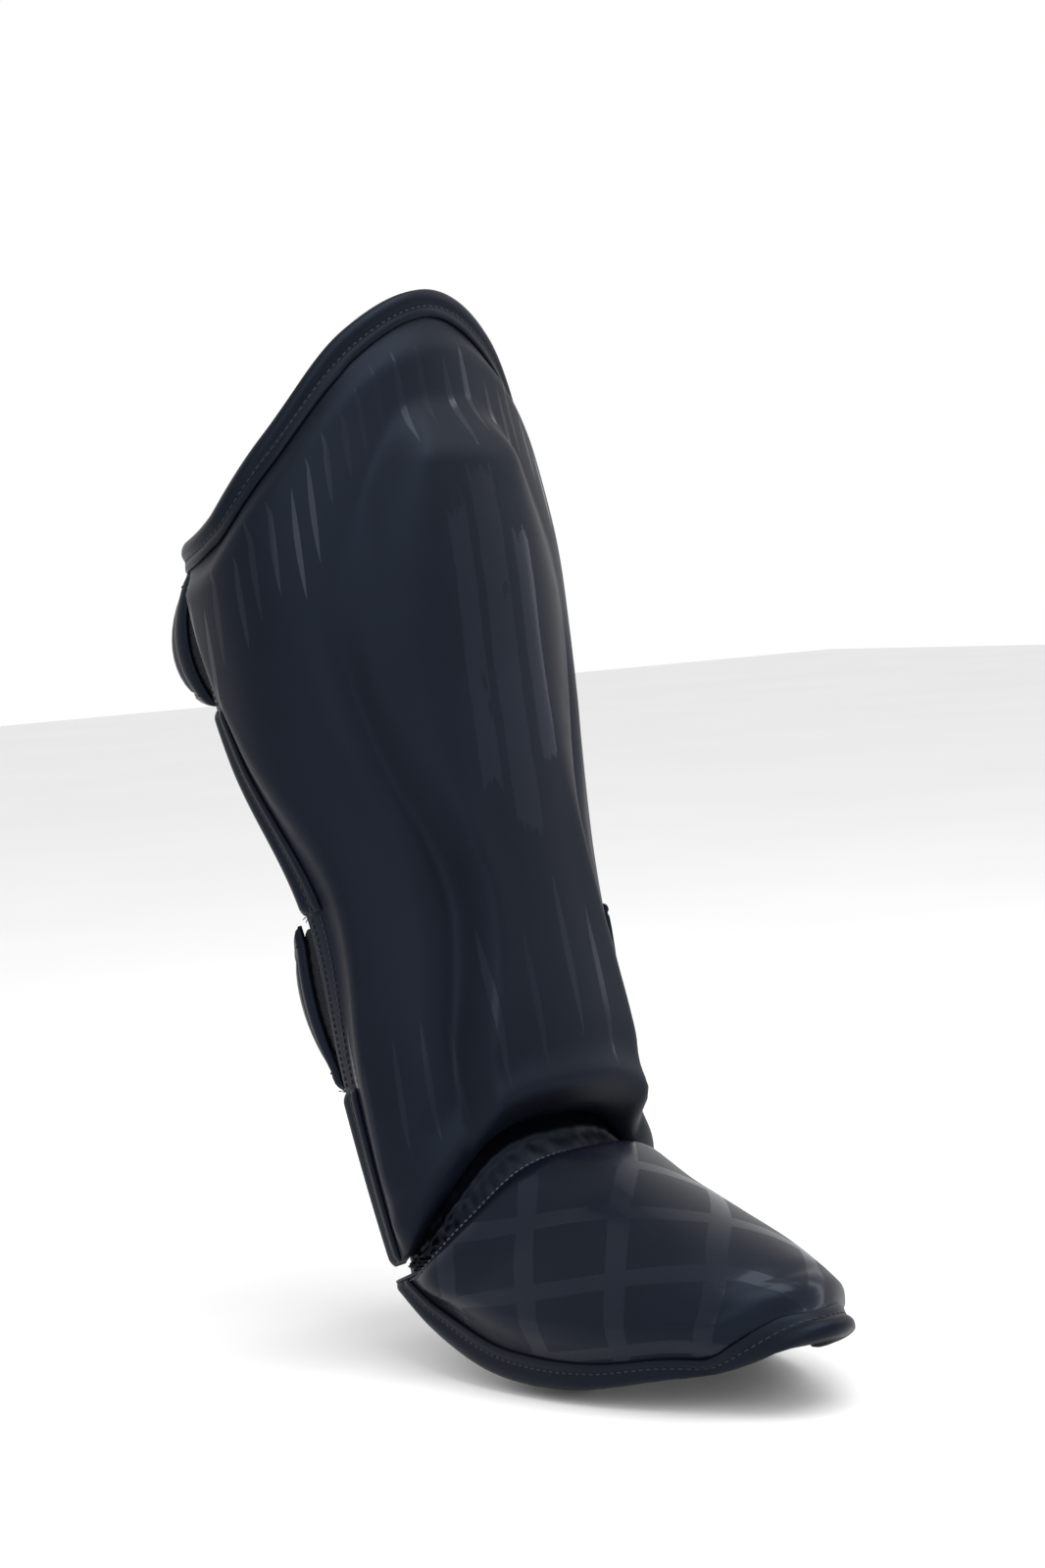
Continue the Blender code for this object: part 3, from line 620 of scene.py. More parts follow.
class Finish:
    """A material on its way: its tree, its shader and the places its patterns read."""

    def __init__(self, name, **constants):
        self.material = bpy.data.materials.new(name)
        self.material.use_nodes = True
        self.tree = self.material.node_tree
        self.shader = self.tree.nodes["Principled BSDF"]
        self.set(**constants)

    def set(self, **values):
        for name, value in values.items():
            socket = self.shader.inputs[name.replace("_", " ").title().replace("Ior", "IOR")]
            if isinstance(value, Wire):
                self.tree.links.new(value.socket, socket)
            else:
                socket.default_value = value

    def node(self, kind, settings, values, output=0):
        return add_node(self.tree, kind, settings, values, output)

    def spot(self):
        return self.node("ShaderNodeTexCoord", {}, {}, "Object")

    def lay(self, title):
        """The two distances of a piece's own map, as two values."""
        place = self.node("ShaderNodeUVMap", {"uv_map": title}, {})
        return [self.node("ShaderNodeSeparateXYZ", {}, {0: place}, k) for k in (0, 1)]

    def noise(self, place, scale, detail=3.0, roughness=0.5):
        values = {"Vector": place, "Scale": scale, "Detail": detail, "Roughness": roughness}
        return self.node("ShaderNodeTexNoise", {}, values)

    def cells(self, place, scale):
        return self.node("ShaderNodeTexVoronoi", {}, {"Vector": place, "Scale": scale})

    def stretch(self, place, x, y, z):
        return self.node("ShaderNodeMapping", {}, {"Vector": place, "Scale": (x, y, z)})

    def chance(self, value):
        """A random number for each whole number."""
        return self.node("ShaderNodeTexWhiteNoise", {"noise_dimensions": "1D"}, {"W": value})

    def mix(self, share, first, second):
        """Between two colours; a Mix node's colour sockets are its sixth, seventh and third."""
        first, second = (value if isinstance(value, Wire) else (*value, 1.0) for value in (first, second))
        return self.node("ShaderNodeMix", {"data_type": "RGBA"}, {0: share, 6: first, 7: second}, 2)

    def relief(self, height, strength, distance):
        values = {"Height": height, "Strength": strength, "Distance": distance}
        self.set(normal=self.node("ShaderNodeBump", {}, values))


def shade(colour, share):
    return tuple(share * value for value in colour)


def streaks(finish, across, down, pitch, start, length, width):
    """Thin upright printed lines of gloss that taper to both ends, one for each step across; the lighter
    colour they give is a painted highlight.
    """
    column = (across / pitch).whole()
    chance = finish.chance(column)
    other = finish.chance(column + 40.5)
    begin = chance * (0.4 * length) + start
    share = (down - begin) / ((other * 0.45 + 0.6) * length)
    inside = (share > 0.0) * (share < 1.0)
    centre = (column + 0.5) * pitch + (chance - 0.5) * (0.3 * pitch)
    half = share * (1.0 - share) * (2.0 * width)
    line = ((across - centre).size() < half) * inside
    return line * (chance * 0.7 + other * 0.5).least(1.0)


def bands(finish, across, height):
    """Plain worn upright bands of gloss down the raised middle, also lighter in colour as painted sheen."""
    place = finish.spot()
    ragged = finish.noise(finish.stretch(place, 260.0, 260.0, 18.0), 1.0, 4.0, 0.7)
    wear_and_sheen = finish.noise(finish.stretch(place, 90.0, 90.0, 30.0), 1.0, 5.0, 0.6)
    strips = []
    for centre, half, low, high in WORN_AND_SHEEN_BANDS:
        side = ((across - centre).size() + (ragged - 0.5) * 0.0024) < half
        ends = ((height + (ragged - 0.5) * 0.030) > low) * ((height + (ragged - 0.5) * 0.040) < high)
        strips.append(side * ends)
    return reduce(Wire.most, strips) * (wear_and_sheen > 0.36) * 0.6


def leather(name, colour, roughness, pattern=None):
    """Smooth synthetic leather: faint grain, soft clouding, rubbed spots and a glossy print, whose lighter
    colour is a painted sheen.
    """
    finish = Finish(name, coat_roughness=0.12, coat_ior=1.45, specular_ior_level=LEATHER_SHINE,
                    specular_tint=(0.56, 0.72, 1.0, 1.0))
    place = finish.spot()
    clouds = finish.noise(place, 14.0, 4.0, 0.6)
    rub = finish.noise(place, 55.0, 5.0, 0.65).ramp(0.52, 0.74)
    grain = finish.cells(place, 1100.0)
    pores = finish.noise(place, 700.0, 2.0, 0.5)
    tone = finish.mix(clouds.ramp(0.3, 0.75), shade(colour, 0.85), shade(colour, 1.2))
    dull = roughness + (clouds - 0.5) * 0.08 + rub * 0.05
    if pattern:
        gloss = pattern(finish)
        # The print's gloss also lightens the base colour here: a painted sheen on top of its real gloss in
        # roughness and coat.
        tone = finish.mix(gloss * 0.22, tone, shade(colour, 5.0))
        dull = dull * (1.0 - gloss * 0.6)
        finish.set(coat_weight=gloss * 0.25)
    finish.set(base_color=tone, roughness=dull)
    finish.relief(grain * 0.6 + pores * 0.5, 0.10, 0.0003)
    return finish.material


def shin_print_and_sheen(finish):
    # Print and worn bands of gloss, whose lighter colour in the leather is painted highlight and sheen.
    across, height = finish.lay("lay")
    top, bottom = finish.lay("edge")
    high_lines = streaks(finish, across, top, 0.0125, 0.019, 0.046, 0.0036)
    low_lines = streaks(finish, across, bottom, 0.0165, 0.012, 0.075, 0.0030)
    return high_lines.most(low_lines).most(bands(finish, across, height))


def foot_print_and_sheen(finish):
    """Broad crossing bands of gloss, in diamonds, also lighter in colour as painted sheen."""
    across, along = finish.lay("lay")
    lines = []
    for slope in (LATTICE_SLOPE, -LATTICE_SLOPE):
        place = (across + along * slope) / LATTICE_PITCH
        lines.append(1.0 - ((place - place.whole()) - 0.5).size().ramp(0.105, 0.115))
    return reduce(Wire.most, lines) * 0.5 * (finish.lay("edge")[0] > 0.012)


def weave(name, colour, roughness, scale, depth, sheen=0.08):
    """Woven or ribbed cloth: threads over and under, on the piece's own map, darker in the dips between
    threads as painted shade.
    """
    finish = Finish(name, sheen_weight=sheen, sheen_tint=(0.7, 0.8, 1.0, 1.0), specular_ior_level=0.15)
    first, second = finish.lay("lay")
    warp = (first * (2 * math.pi * scale)).wave()
    weft = (second * (2 * math.pi * scale * 0.8)).wave()
    threads = (warp * weft).size() + warp * 0.4
    fuzz = finish.noise(finish.spot(), 900.0, 2.0)
    # The tone follows the threads' height, so the dips between them are darker: painted shade along the
    # weave's relief.
    tone = finish.mix(threads.ramp(-0.2, 1.2), shade(colour, 0.5), shade(colour, 1.6))
    finish.set(base_color=tone, roughness=roughness + fuzz * 0.1)
    finish.relief(threads + fuzz * 0.6, 0.6, depth)
    return finish.material


@lru_cache(maxsize=None)
def finish_of(name):
    """Each finish is made once, when its first piece asks for it."""
    colours = bpy.context.scene.guard_colours
    makers = {
        "shin_leather": lambda: leather("shin_leather", colours.leather, 0.48, shin_print_and_sheen),
        "foot_leather": lambda: leather("foot_leather", colours.leather, 0.38, foot_print_and_sheen),
        "tape_leather": lambda: leather("tape_leather", shade(colours.leather, 0.75), 0.42),
        "strap_leather": lambda: leather("strap_leather", shade(colours.leather, 0.9), 0.36),
        "lining": lambda: weave("lining", colours.cloth, 0.85, 800.0, 0.0003),
        "elastic": lambda: weave("elastic", colours.cloth, 0.8, 500.0, 0.0006, 0.06),
        "hook_tape": lambda: weave("hook_tape", shade(colours.cloth, 0.8), 0.9, 650.0, 0.0008),
        "panel_cloth": lambda: leather("panel_cloth", shade(colours.leather, 0.35), 0.42),
        # Both threads carry the painted glint of the thread colour; the seam's thread is three times the
        # thread colour.
        "seam_thread": lambda: weave("seam_thread", shade(colours.thread, 3.0), 0.5, 1500.0, 0.0002),
        "thread": lambda: weave("thread", colours.thread, 0.5, 1500.0, 0.0002),
    }
    return makers[name]()


def sewn(outer, inner, lift):
    """A run for stitches: a line of the outer face lifted off it, and the way the face looks."""
    face = unit(outer - inner)
    return outer + face * lift, face


def face_map(first, second):
    return np.stack([first, second], -1)


def run_map(points):
    """Distances along both directions of a grid, for its own map."""
    down = np.array([lengths(points[:, k]) for k in range(points.shape[1])]).T
    along = np.array([lengths(points[k]) for k in range(points.shape[0])])
    return face_map(along, down)


def web(name, slot, finish, outer, inner, node):
    """A thin piece of one finish, mapped by the distances along its own grid."""
    piece = walled(name, outer, inner, [finish_of(finish)], lay=run_map(outer))
    return set_up(piece, slot, node)


def tape(node, outer_lines, inner_lines):
    """Tape folded over an edge, from lines of points at each grid line in; gives its stitches' run."""
    normal = unit(outer_lines[0] - inner_lines[0])
    tangent = unit(np.gradient(outer_lines[0], axis=0))
    away = unit(np.cross(tangent, normal))
    away = away * np.sign(np.sum(away * (outer_lines[0] - outer_lines[3]), axis=1))[:, None]
    run = lengths(outer_lines[0])
    from_end = np.minimum(run, run[-1] - run)
    full = (0.25 + 0.75 * np.sqrt(ease(from_end, 0.0, 0.004)))[:, None]
    top, under = [], []
    for lines, sign, profile in ((outer_lines, 1, TAPE_OUTSIDE), (inner_lines, -1, TAPE_INSIDE)):
        if sign < 0:
            middle = (outer_lines[0] + inner_lines[0]) / 2
            top.append(middle + away * (0.0004 + 0.0018 * full))
            under.append(middle + away * 0.0003)
        for row, height, reach in profile:
            face = unit(outer_lines[row] - inner_lines[row]) * sign
            top.append(lines[row] + face * (0.0003 + (height - 0.0003) * full) + away * reach * full)
            under.append(lines[row] + face * 0.0002 + away * (0.0003 if row == 0 else 0.0))
    web(node + "_tape", "binding_tape", "tape_leather", np.array(top), np.array(under), node)
    return sewn(outer_lines[STITCH_ROW], inner_lines[STITCH_ROW], TAPE_STITCH_LIFT)


def side_lines(grid, side, low, high):
    """Lines down one side of the shin pad, between two heights."""
    heights = grid["height"][:, 0 if side < 0 else -1]
    rows = (heights >= low) & (heights <= high)
    lines = []
    for face in ("outer", "inner"):
        points = grid[face][rows]
        lines.append([points[:, k if side < 0 else -1 - k] for k in range(TAPE_ROWS)])
    return lines


def resample(line, count):
    run = lengths(line)
    at = np.linspace(0, run[-1], count)
    return np.stack([np.interp(at, run, line[:, k]) for k in range(3)], 1)


def foot_lines(face):
    """Lines round the instep pad's left side, toe and right side, at each grid line in."""
    rows, columns = face.shape[:2]
    lines = []
    for k in range(TAPE_ROWS):
        left = resample(face[:rows - k, k], 130)
        toe = resample(face[rows - 1 - k, k:columns - k], 48)
        right = resample(face[:rows - k, columns - 1 - k][::-1], 130)
        lines.append(smoothed(np.concatenate([left, toe[1:-1], right]), 3))
    return lines


def smoothed(line, times):
    """A line of points with its corners eased and both its ends kept."""
    line = line.copy()
    for _ in range(times):
        line[2:-2] = (line[:-4] + 2 * line[1:-3] + 3 * line[2:-2] + 2 * line[3:-1] + line[4:]) / 9
    return line


@lru_cache(maxsize=None)
def around_back(height):
    """Distance past the left edge and angle, on the way round the back at one height."""
    wrap = wrap_at(height)
    angle = np.linspace(wrap - 1.1, 2 * math.pi - wrap + 1.1, 161)
    run = lengths(leg(-angle, np.full_like(angle, height)))
    start = np.interp(wrap, angle, run)
    end = np.interp(2 * math.pi - wrap, angle, run)
    return run - start, -angle, end - start


def band_points(height, end, distance, offset):
    """Points off the leg's oval; end is 0 at the left edge, 1 at the right one or between."""
    angles = np.empty_like(height)
    for k in np.ndindex(height.shape):
        run, angle, total = around_back(round(float(height[k]), 6))
        place = (1 - end[k]) * distance[k] + end[k] * (total - distance[k])
        angles[k] = np.interp(place, run, angle)
    return leg_point(angles, height, offset) - SEAT


def height_on(strap, from_middle):
    """Height on the leg of a place across a strap, given as a share of its width."""
    return strap["height"] + strap["width"] * from_middle


def bowed(strap, from_middle):
    """How far a strap stands off the leg: all of its bow in the middle, less towards its edges."""
    return strap["bow"] * np.maximum(LEAST_BOW, 1 - strap["crown"] * (2 * from_middle) ** 2)


def strap_places(strap, bands):
    """Each station's end, distance, lift, seated height, low and high edge, and share of wall."""
    lap = strap["lap"]
    places = []
    for distance in np.linspace(STRAP_START, STRAP_CLEAR, 22):
        lift, low, high = (read(bands, key, distance) for key in ("lift", "low", "high"))
        places.append((0.0, distance, lift, 0.0, low, high, 1.0))
    for share in np.linspace(0, 1, 62)[1:]:
        places.append((share, STRAP_CLEAR, 1.0, 0.0, -0.5, 0.5, 1.0))
    for distance in np.linspace(STRAP_CLEAR, LAP_START, 16)[1:]:
        rise = ease(distance, LAP_START, STRAP_CLEAR)
        seated = (1 - rise) * (EDGE_WALL + STRAP_SEAT - LAY)
        places.append((1.0, distance, rise, seated, -0.5, 0.5, 1 - (1 - LAP_WALL) * (1 - rise)))
    for inland in np.linspace(0, lap, 12):
        spread = 0.5 - 0.08 * ease(inland, lap - 0.006, lap)
        places.append((1.0, -inland, -1.0, 0.0, -spread, spread, LAP_WALL))
    return places


def strap_grid(strap, bands):
    """Outer and inner face of a padded strap with bound edges and a bound left end."""
    across = np.array(STRAP_ACROSS)
    places = strap_places(strap, bands)
    shape = (len(places), len(across))
    end, distance, lift, seated, low, high, share = (
        np.repeat(np.array(values)[:, None], shape[1], axis=1) for values in zip(*places))
    from_middle = low + (high - low) * (across + 1) / 2
    height = height_on(strap, from_middle)
    on_wing = lift < 0
    wing = pad_wall(height, np.maximum(-distance, 0.0), 1.0, 1.0, 1.0) + STRAP_SEAT
    under = np.where(on_wing, wing, LAY + seated + lift * bowed(strap, from_middle))
    from_side = (1 - np.abs(across)) * strap["width"] / 2
    from_end = np.maximum(distance - STRAP_START, 0.0) + end * 0.1
    edge = np.where(on_wing | (end >= 1), from_side, np.minimum(from_side, from_end))
    inland = np.clip(edge / STRAP_CROWN, 0, 1)
    crown = STRAP_EDGE + (1 - STRAP_EDGE) * np.sqrt(np.clip(1 - (1 - inland) ** 2, 0, 1))
    rim = STRAP_RIM * ease(edge, 0.0, 0.0012) * (1 - ease(edge, 0.0040, 0.0050))
    groove = -STRAP_RIM * bump_at(edge, 0.0056, 0.0009)
    wall = STRAP_WALL * share * (crown + rim + groove)
    outer = band_points(height, end, distance, under + wall)
    return outer, band_points(height, end, distance, under)


def strap_pieces(word, strap, bands):
    outer, inner = strap_grid(strap, bands)
    name = word + "_strap"
    piece = walled(name + "_cover", outer, inner, [finish_of("strap_leather"), finish_of("lining")],
                   lay=run_map(outer))
    set_up(piece, "cover_leather", name)
    runs = [sewn(outer[1:, column], inner[1:, column], 0.0001) for column in (4, -5)]
    runs.append(sewn(outer[4, 4:-4], inner[4, 4:-4], 0.0))
    sew(name + "_stitches", runs)


def elastic_piece(word, strap):
    """The ribbed elastic sewn inside the left margin, that the strap is sewn on to."""
    distance, across = np.meshgrid(np.linspace(-0.012, 0.026, 40), np.linspace(0, 1, 25), indexing="ij")
    lift, low, high = (read(ELASTIC_BAND, key, distance) for key in ("lift", "low", "high"))
    from_middle = low + (high - low) * across
    height = height_on(strap, from_middle)
    ribs = RIB_HEIGHT * np.cos(across * math.pi * RIBS)
    top = lift * bowed(strap, from_middle) - 0.0004 * (1 - ease(distance, 0.004, STRAP_START)) + ribs
    end = np.zeros_like(height)
    outer = band_points(height, end, distance, top - 0.0002)
    inner = band_points(height, end, distance, top - ELASTIC)
    name = word + "_elastic_left"
    web(name + "_web", "elastic", "elastic", outer, inner, name)


def closure_piece(word, strap):
    """Hook tape on the right wing, under the end of the strap."""
    last = min(strap["lap"] - 0.002, MARGIN + SWELL)
    inland = np.linspace(0.1 * MARGIN, last, 20)
    inland, across = np.meshgrid(inland, np.linspace(-0.4, 0.4, 30), indexing="ij")
    height = height_on(strap, across)
    seat = pad_wall(height, inland, 1.0, 1.0, 1.0) + LAY
    end = np.ones_like(height)
    outer = band_points(height, end, -inland, seat + HOOK_TAPE)
    inner = band_points(height, end, -inland, seat)
    name = word + "_closure"
    web(name + "_hooks", "hook_tape", "hook_tape", outer, inner, name)


class GuardSizes(bpy.types.PropertyGroup):
    """Low relief and cloth sizes of the guard."""
    valley_depth: FloatProperty(name="Valley depth", default=0.0016, unit="LENGTH",
                                description="Depth of the moulded valley beside the raised middle")
    swell_height: FloatProperty(name="Swell height", default=0.0014, unit="LENGTH",
                                description="Height of the soft swell outside the valley")
    toe_crease: FloatProperty(name="Toe crease", default=0.0014, unit="LENGTH",
                              description="Depth of the crease where the toe lip turns up")
    wrinkle: FloatProperty(name="Wrinkle", default=0.0011, unit="LENGTH",
                           description="Height of the wrinkles in the ankle panel")


class GuardColours(bpy.types.PropertyGroup):
    """Colours of the guard's finishes."""
    leather: FloatVectorProperty(name="Leather", subtype="COLOR", default=(0.0025, 0.0033, 0.0066),
                                 description="Navy-black synthetic leather")
    cloth: FloatVectorProperty(name="Cloth", subtype="COLOR", default=(0.0028, 0.0034, 0.0054),
                               description="Black lining, elastic and hook tape")
    # Lighter than the leather: the thread's own navy tone plus its glints painted in as a lighter colour.
    thread: FloatVectorProperty(name="Thread", subtype="COLOR", default=(0.030, 0.034, 0.048),
                                description="Sewing thread, a little lighter than the tape")


class GUARD_OT_shin_pad(bpy.types.Operator):
    """Builds the moulded shin pad with its cover, lining and printed gloss, lighter in colour as painted
    sheen
    """
    bl_idname = "guard.shin_pad"
    bl_label = "Shin pad"

    def execute(self, context):
        grid = pad_faces()
        piece = walled("shin_pad_cover", grid["outer"], grid["inner"],
                       [finish_of("shin_leather"), finish_of("lining")],
                       lay=face_map(grid["lateral"], grid["height"]),
                       edge=face_map(grid["top"], grid["bottom"]))
        set_up(piece, "cover_leather", "shin_pad")
        return {"FINISHED"}


class GUARD_OT_foot_pad(bpy.types.Operator):
    """Builds the instep pad with its cover, lining and crossing bands of gloss, lighter in colour as
    painted sheen
    """
    bl_idname = "guard.foot_pad"
    bl_label = "Instep pad"

    def execute(self, context):
        grid = foot_faces()
        piece = walled("foot_pad_cover", grid["outer"], grid["inner"],
                       [finish_of("foot_leather"), finish_of("lining")],
                       lay=face_map(grid["lateral"], grid["bottom"]),
                       edge=face_map(np.minimum(grid["side"], grid["top"]), grid["bottom"]))
        set_up(piece, "cover_leather", "foot_pad")
        return {"FINISHED"}


class GUARD_OT_tapes(bpy.types.Operator):
    """Folds the edge tapes over the pads' edges and sews them down"""
    bl_idname = "guard.tapes"
    bl_label = "Edge tapes"

    def execute(self, context):
        grid = pad_faces()
        lines = [[grid[face][-1 - k] for k in range(TAPE_ROWS)] for face in ("outer", "inner")]
        calf_low = height_on(CALF_STRAP, ELASTIC_BAND["low"].min()) - LAY
        ankle_high = height_on(ANKLE_STRAP, ANKLE_BAND["high"].max()) + LAY
        ankle_low = height_on(ANKLE_STRAP, ELASTIC_BAND["low"].min()) - LAY
        pieces = [("top_binding", *lines)]
        for side, word in ((-1, "left"), (1, "right")):
            pieces.append(("side_binding_" + word, *side_lines(grid, side, ankle_high, calf_low)))
            pieces.append(("heel_binding_" + word, *side_lines(grid, side, -1.0, ankle_low)))
        foot = foot_faces()
        pieces.append(("foot_binding", foot_lines(foot["outer"]), foot_lines(foot["inner"])))
        runs = [tape(*piece) for piece in pieces]
        sew("tape_stitches", runs)
        self.margins(grid, calf_low, ankle_low, ankle_high)
        self.thread_ends(runs[1:5])
        return {"FINISHED"}

    def thread_ends(self, runs):
        """Short cut threads that stand out where the side tapes end beside the ankle strap."""
        fan = np.linspace(-1.2, 1.2, 5)
        tufts = []
        for (line, face), end in zip(runs, (0, -1, 0, -1)):
            along = unit(line[end] - line[1 if end == 0 else -2])
            across = np.cross(face[end], along)
            for turn in fan:
                way = along * math.cos(turn) + across * math.sin(turn) + face[end] * 0.5
                start = line[end] + face[end] * TAPE_STITCH_LIFT
                tip = start + unit(way) * THREAD_REACH
                tufts.append((np.array([start, tip]), np.array([face[end]] * 2)))
        sew("thread_ends", tufts, length=0.0034, radius=0.00026)

    def margins(self, grid, calf_low, ankle_low, ankle_high):
        """Double stitching on the bare margins where the straps are sewn on."""
        runs = []
        calf_high = height_on(CALF_STRAP, 0.75)
        for side in (-1, 1):
            for low, high in ((ankle_low, ankle_high), (calf_low, calf_high)):
                outer, inner = side_lines(grid, side, low, high)
                runs += [sewn(outer[row], inner[row], 0.0002) for row in (3, 7)]
        sew("margin_stitches", runs, pitch=0.0030, length=0.0024)


class GUARD_OT_ankle_panel(bpy.types.Operator):
    """Builds the flexible panel between the arch and the instep pad"""
    bl_idname = "guard.ankle_panel"
    bl_label = "Ankle panel"

    def execute(self, context):
        wrinkle = context.scene.guard_sizes.wrinkle
        shares = PANEL_SHARE * np.sin(np.linspace(-math.pi / 2, math.pi / 2, 221))
        faces = []
        for depth in (LAY, LAY + GUSSET_WALL):
            columns = []
            for across in shares:
                offset = np.asarray(-depth - PANEL_STEP * ease(abs(across), 0.50, 0.62))
                angle, height = pad_place(across, 0.0)
                knots = np.array([
                    leg_point(angle, height + TUCK, offset),
                    leg_point(angle, height, offset),
                    foot_point(across, 0.0, offset),
                    foot_point(across, TUCK / FOOT_LENGTH, offset),
                ])
                run = lengths(knots)
                at = np.concatenate([np.linspace(run[0], run[1], 6), np.linspace(run[1], run[2], 20)[1:],
                                     np.linspace(run[2], run[3], 6)[1:]])
                columns.append(np.stack([np.interp(at, run, knots[:, k]) for k in range(3)], 1))
            faces.append(np.array(columns).transpose(1, 0, 2) - SEAT)
        outer, inner = faces
        normal = unit(outer - inner)
        along = lengths(outer[12])
        rows = np.linspace(-1, 1, 20)
        share = np.zeros(outer.shape[0])
        share[5:25] = 1 - rows ** 2
        side = np.abs(shares)
        row = np.arange(outer.shape[0])[:, None] / outer.shape[0]
        slope = FOLD_SLANT * np.sign(shares)[None, :] * (row - 0.5)
        folds = np.sin(along * FOLD_RATE + 1.5 * np.sin(along * FOLD_DRIFT_RATE) + slope)
        folds = folds + 0.6 * np.sin(along * FINE_FOLD_RATE - 0.7 * slope)
        height = wrinkle * folds * (0.25 + 0.75 * ease(side, 0.25, 0.8)) * (1 - 0.8 * ease(side, 0.9, 0.97))
        ridge = PANEL_RIDGE * bump_at(row, 0.36, 0.05)
        lift = share[:, None] * (height + 0.0004) + ridge
        outer = outer + normal * lift[..., None]
        inner = inner + normal * lift[..., None]
        piece = web("ankle_gusset_cloth", "gusset_cloth", "panel_cloth", outer, inner, "ankle_gusset")
        self.seam()
        return {"FINISHED"}

    def seam(self):
        """A corded seam along the instep pad's rear edge, with its stitches."""
        grid = foot_faces()
        outer, inner = grid["outer"], grid["inner"]
        face = unit(outer[0] - inner[0])
        back = unit(outer[0] - outer[3])
        turns = np.linspace(0, 2 * math.pi, 13)[:-1]
        middle = outer[0] + face * 0.0004 + back * 0.0002
        ring = [middle + SEAM_RADIUS * (math.cos(a) * face + math.sin(a) * back) for a in turns]
        shell = bmesh.new()
        tube(shell, np.array(ring)[:, 2:-2])
        piece = as_piece("rear_seam_cord", shell, [finish_of("tape_leather")])
        set_up(piece, "binding_tape")
        run = sewn(outer[2], inner[2], 0.0003)
        sew("rear_seam_stitches", [run], "seam_thread", pitch=0.0028, length=0.0020)


def tube(shell, rings):
    """A closed tube: a grid whose points are laid on the rings, with its seam and ends closed."""
    around, stations = rings.shape[:2]
    made = bmesh.ops.create_grid(shell, x_segments=around, y_segments=stations - 1, size=1.0)
    for vertex in made["verts"]:
        column = round((vertex.co.x + 1) / 2 * around) % around
        row = round((vertex.co.y + 1) / 2 * (stations - 1))
        vertex.co = rings[column, row]
    bmesh.ops.remove_doubles(shell, verts=shell.verts, dist=1e-6)
    bmesh.ops.holes_fill(shell, edges=border(shell), sides=0)
    bmesh.ops.recalc_face_normals(shell, faces=shell.faces)
    for face in shell.faces:
        face.smooth = len(face.verts) == 4


class GUARD_OT_straps(bpy.types.Operator):
    """Builds both padded straps with their elastics and hook tapes"""
    bl_idname = "guard.straps"
    bl_label = "Back straps"

    def execute(self, context):
        for word, strap, bands in (("calf", CALF_STRAP, CALF_BAND), ("ankle", ANKLE_STRAP, ANKLE_BAND)):
            strap_pieces(word, strap, bands)
            elastic_piece(word, strap)
            closure_piece(word, strap)
        return {"FINISHED"}


class GUARD_OT_sole_strap(bpy.types.Operator):
    """Builds the elastic under the foot"""
    bl_idname = "guard.sole_strap"
    bl_label = "Sole strap"

    def execute(self, context):
        half = 0.5 * SOLE_STRAP_WIDTH / FOOT_LENGTH
        turns = np.radians([1, 3, 6, 10, 15, 21, 28, 36, 45, 55, 65, 75, 90])
        fine = np.linspace(-1, 0, 61)
        faces = [[], []]
        for along in SOLE_STRAP_PLACE + half * np.linspace(-1, 1, 15):
            run = lengths(foot_skin(fine, along))
            for k, depth in enumerate((0.0, ELASTIC)):
                points = []
                for up, gap in SOLE_STRAP_RUN:
                    across = np.interp(up, run, fine)
                    points.append(foot_point(across, along, np.asarray(-gap - depth)))
                start = points[-1]
                for turn in turns:
                    x = start[0] * math.cos(turn) ** 0.5 if turn < turns[-1] else 0.0
                    z = start[2] - (SOLE_STRAP_TURN - depth) * math.sin(turn) ** 0.5
                    points.append(np.array([x, start[1], z]))
                mirrored = [point * np.array([-1, 1, 1]) for point in points[-2::-1]]
                faces[k].append(np.array(points + mirrored) - SEAT)
        outer, inner = np.array(faces[0]), np.array(faces[1])
        web("sole_strap_web", "elastic", "elastic", outer, inner, "sole_strap")
        return {"FINISHED"}


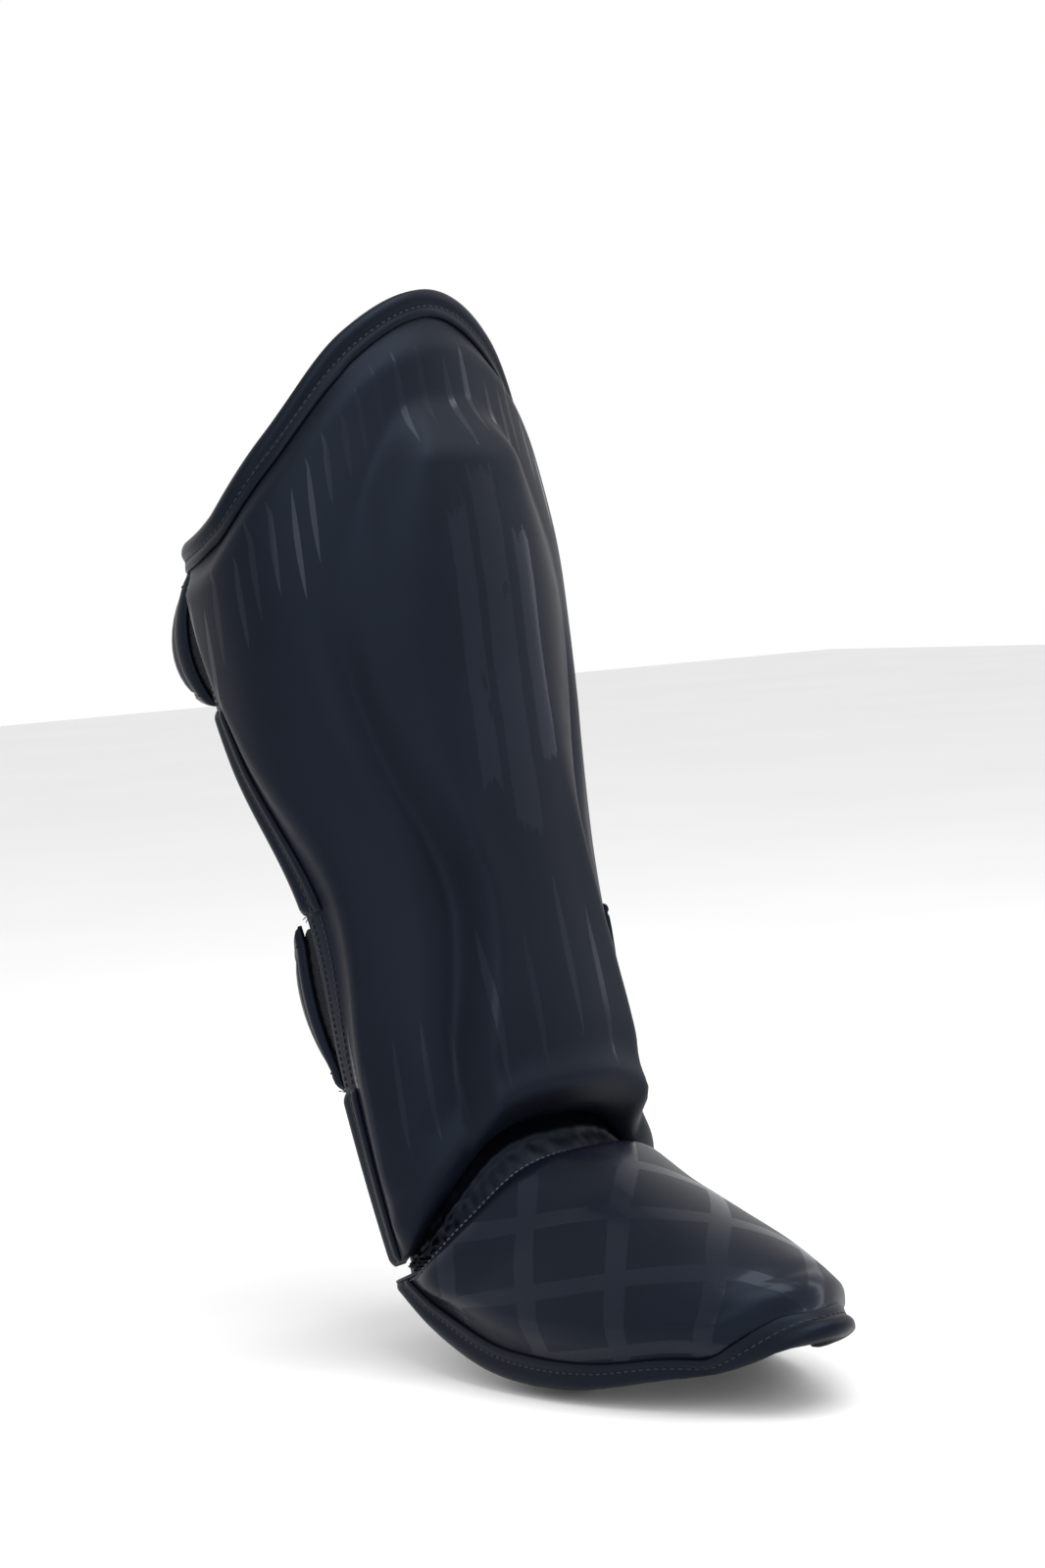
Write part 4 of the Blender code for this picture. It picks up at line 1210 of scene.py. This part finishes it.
class GUARD_OT_stage(bpy.types.Operator):
    """Sets the camera, the pale floor and the soft studio light"""
    bl_idname = "guard.stage"
    bl_label = "Stage"

    def execute(self, context):
        context.scene.view_settings.view_transform = "Standard"
        self.camera(context)
        self.floor(context)
        self.light(context)
        return {"FINISHED"}

    def camera(self, context):
        azimuth, elevation, roll = (math.radians(value) for value in CAMERA_TURN)
        back = Vector((math.sin(azimuth) * math.cos(elevation),
                       -math.cos(azimuth) * math.cos(elevation), math.sin(elevation)))
        right = Vector((math.cos(azimuth), math.sin(azimuth), 0.0))
        up = back.cross(right)
        rolled = right * math.cos(roll) + up * math.sin(roll)
        up = up * math.cos(roll) - right * math.sin(roll)
        target = Vector(CAMERA_TARGET) - Vector(SEAT)
        data = bpy.data.cameras.new("camera")
        data.sensor_fit = "VERTICAL"
        data.sensor_height = 36.0
        data.lens = CAMERA_LENS
        camera = bpy.data.objects.new("camera", data)
        matrix = Matrix((rolled, up, back)).transposed().to_4x4()
        matrix.translation = target + back * CAMERA_DISTANCE
        camera.matrix_world = matrix
        context.collection.objects.link(camera)
        context.scene.camera = camera

    def floor(self, context):
        shell = bmesh.new()
        bmesh.ops.create_grid(shell, x_segments=2, y_segments=2, size=6.0,
                              matrix=Matrix.Translation((0.0, 0.0, CAD_BOX[0][2] - 0.003)))
        paper = Finish("paper", roughness=0.9, specular_ior_level=0.1)
        tone = paper.noise(paper.spot(), 3.0).ramp(0.2, 0.8)
        paper.set(base_color=paper.mix(tone, (0.79, 0.79, 0.79), (0.81, 0.81, 0.81)))
        as_piece("floor", shell, [paper.material])

    def light(self, context):
        world = bpy.data.worlds.new("studio")
        context.scene.world = world
        world.use_nodes = True
        surround = world.node_tree.nodes["Background"]
        surround.inputs["Color"].default_value = (1.0, 1.0, 1.0, 1.0)
        surround.inputs["Strength"].default_value = 1.0
        for name, place, size, power in LAMPS:
            data = bpy.data.lights.new(name, "AREA")
            data.shape = "RECTANGLE"
            data.size, data.size_y = size
            data.energy = power
            lamp = bpy.data.objects.new(name, data)
            lamp.location = place
            lamp.rotation_euler = (-Vector(place)).to_track_quat("-Z", "Y").to_euler()
            context.collection.objects.link(lamp)


class GUARD_PT_panel(bpy.types.Panel):
    """Lists the guard's operators and sizes."""
    bl_label = "Shin guard"
    bl_idname = "GUARD_PT_panel"
    bl_space_type = "VIEW_3D"
    bl_region_type = "UI"
    bl_category = "Shin guard"

    def draw(self, context):
        for operator in OPERATORS:
            self.layout.operator(operator.bl_idname)
        for group in (context.scene.guard_sizes, context.scene.guard_colours):
            for name in group.__annotations__:
                self.layout.prop(group, name)


OPERATORS = (GUARD_OT_shin_pad, GUARD_OT_foot_pad, GUARD_OT_tapes, GUARD_OT_ankle_panel,
             GUARD_OT_straps, GUARD_OT_sole_strap, GUARD_OT_stage)
CLASSES = (GuardSizes, GuardColours, *OPERATORS, GUARD_PT_panel)


def register():
    for kind in CLASSES:
        bpy.utils.register_class(kind)
    bpy.types.Scene.guard_sizes = PointerProperty(type=GuardSizes)
    bpy.types.Scene.guard_colours = PointerProperty(type=GuardColours)


def unregister():
    del bpy.types.Scene.guard_colours
    del bpy.types.Scene.guard_sizes
    for kind in reversed(CLASSES):
        bpy.utils.unregister_class(kind)


def main():
    register()
    bpy.ops.guard.shin_pad()
    bpy.ops.guard.foot_pad()
    bpy.ops.guard.tapes()
    bpy.ops.guard.ankle_panel()
    bpy.ops.guard.straps()
    bpy.ops.guard.sole_strap()
    bpy.ops.guard.stage()


if __name__ == "__main__":
    main()
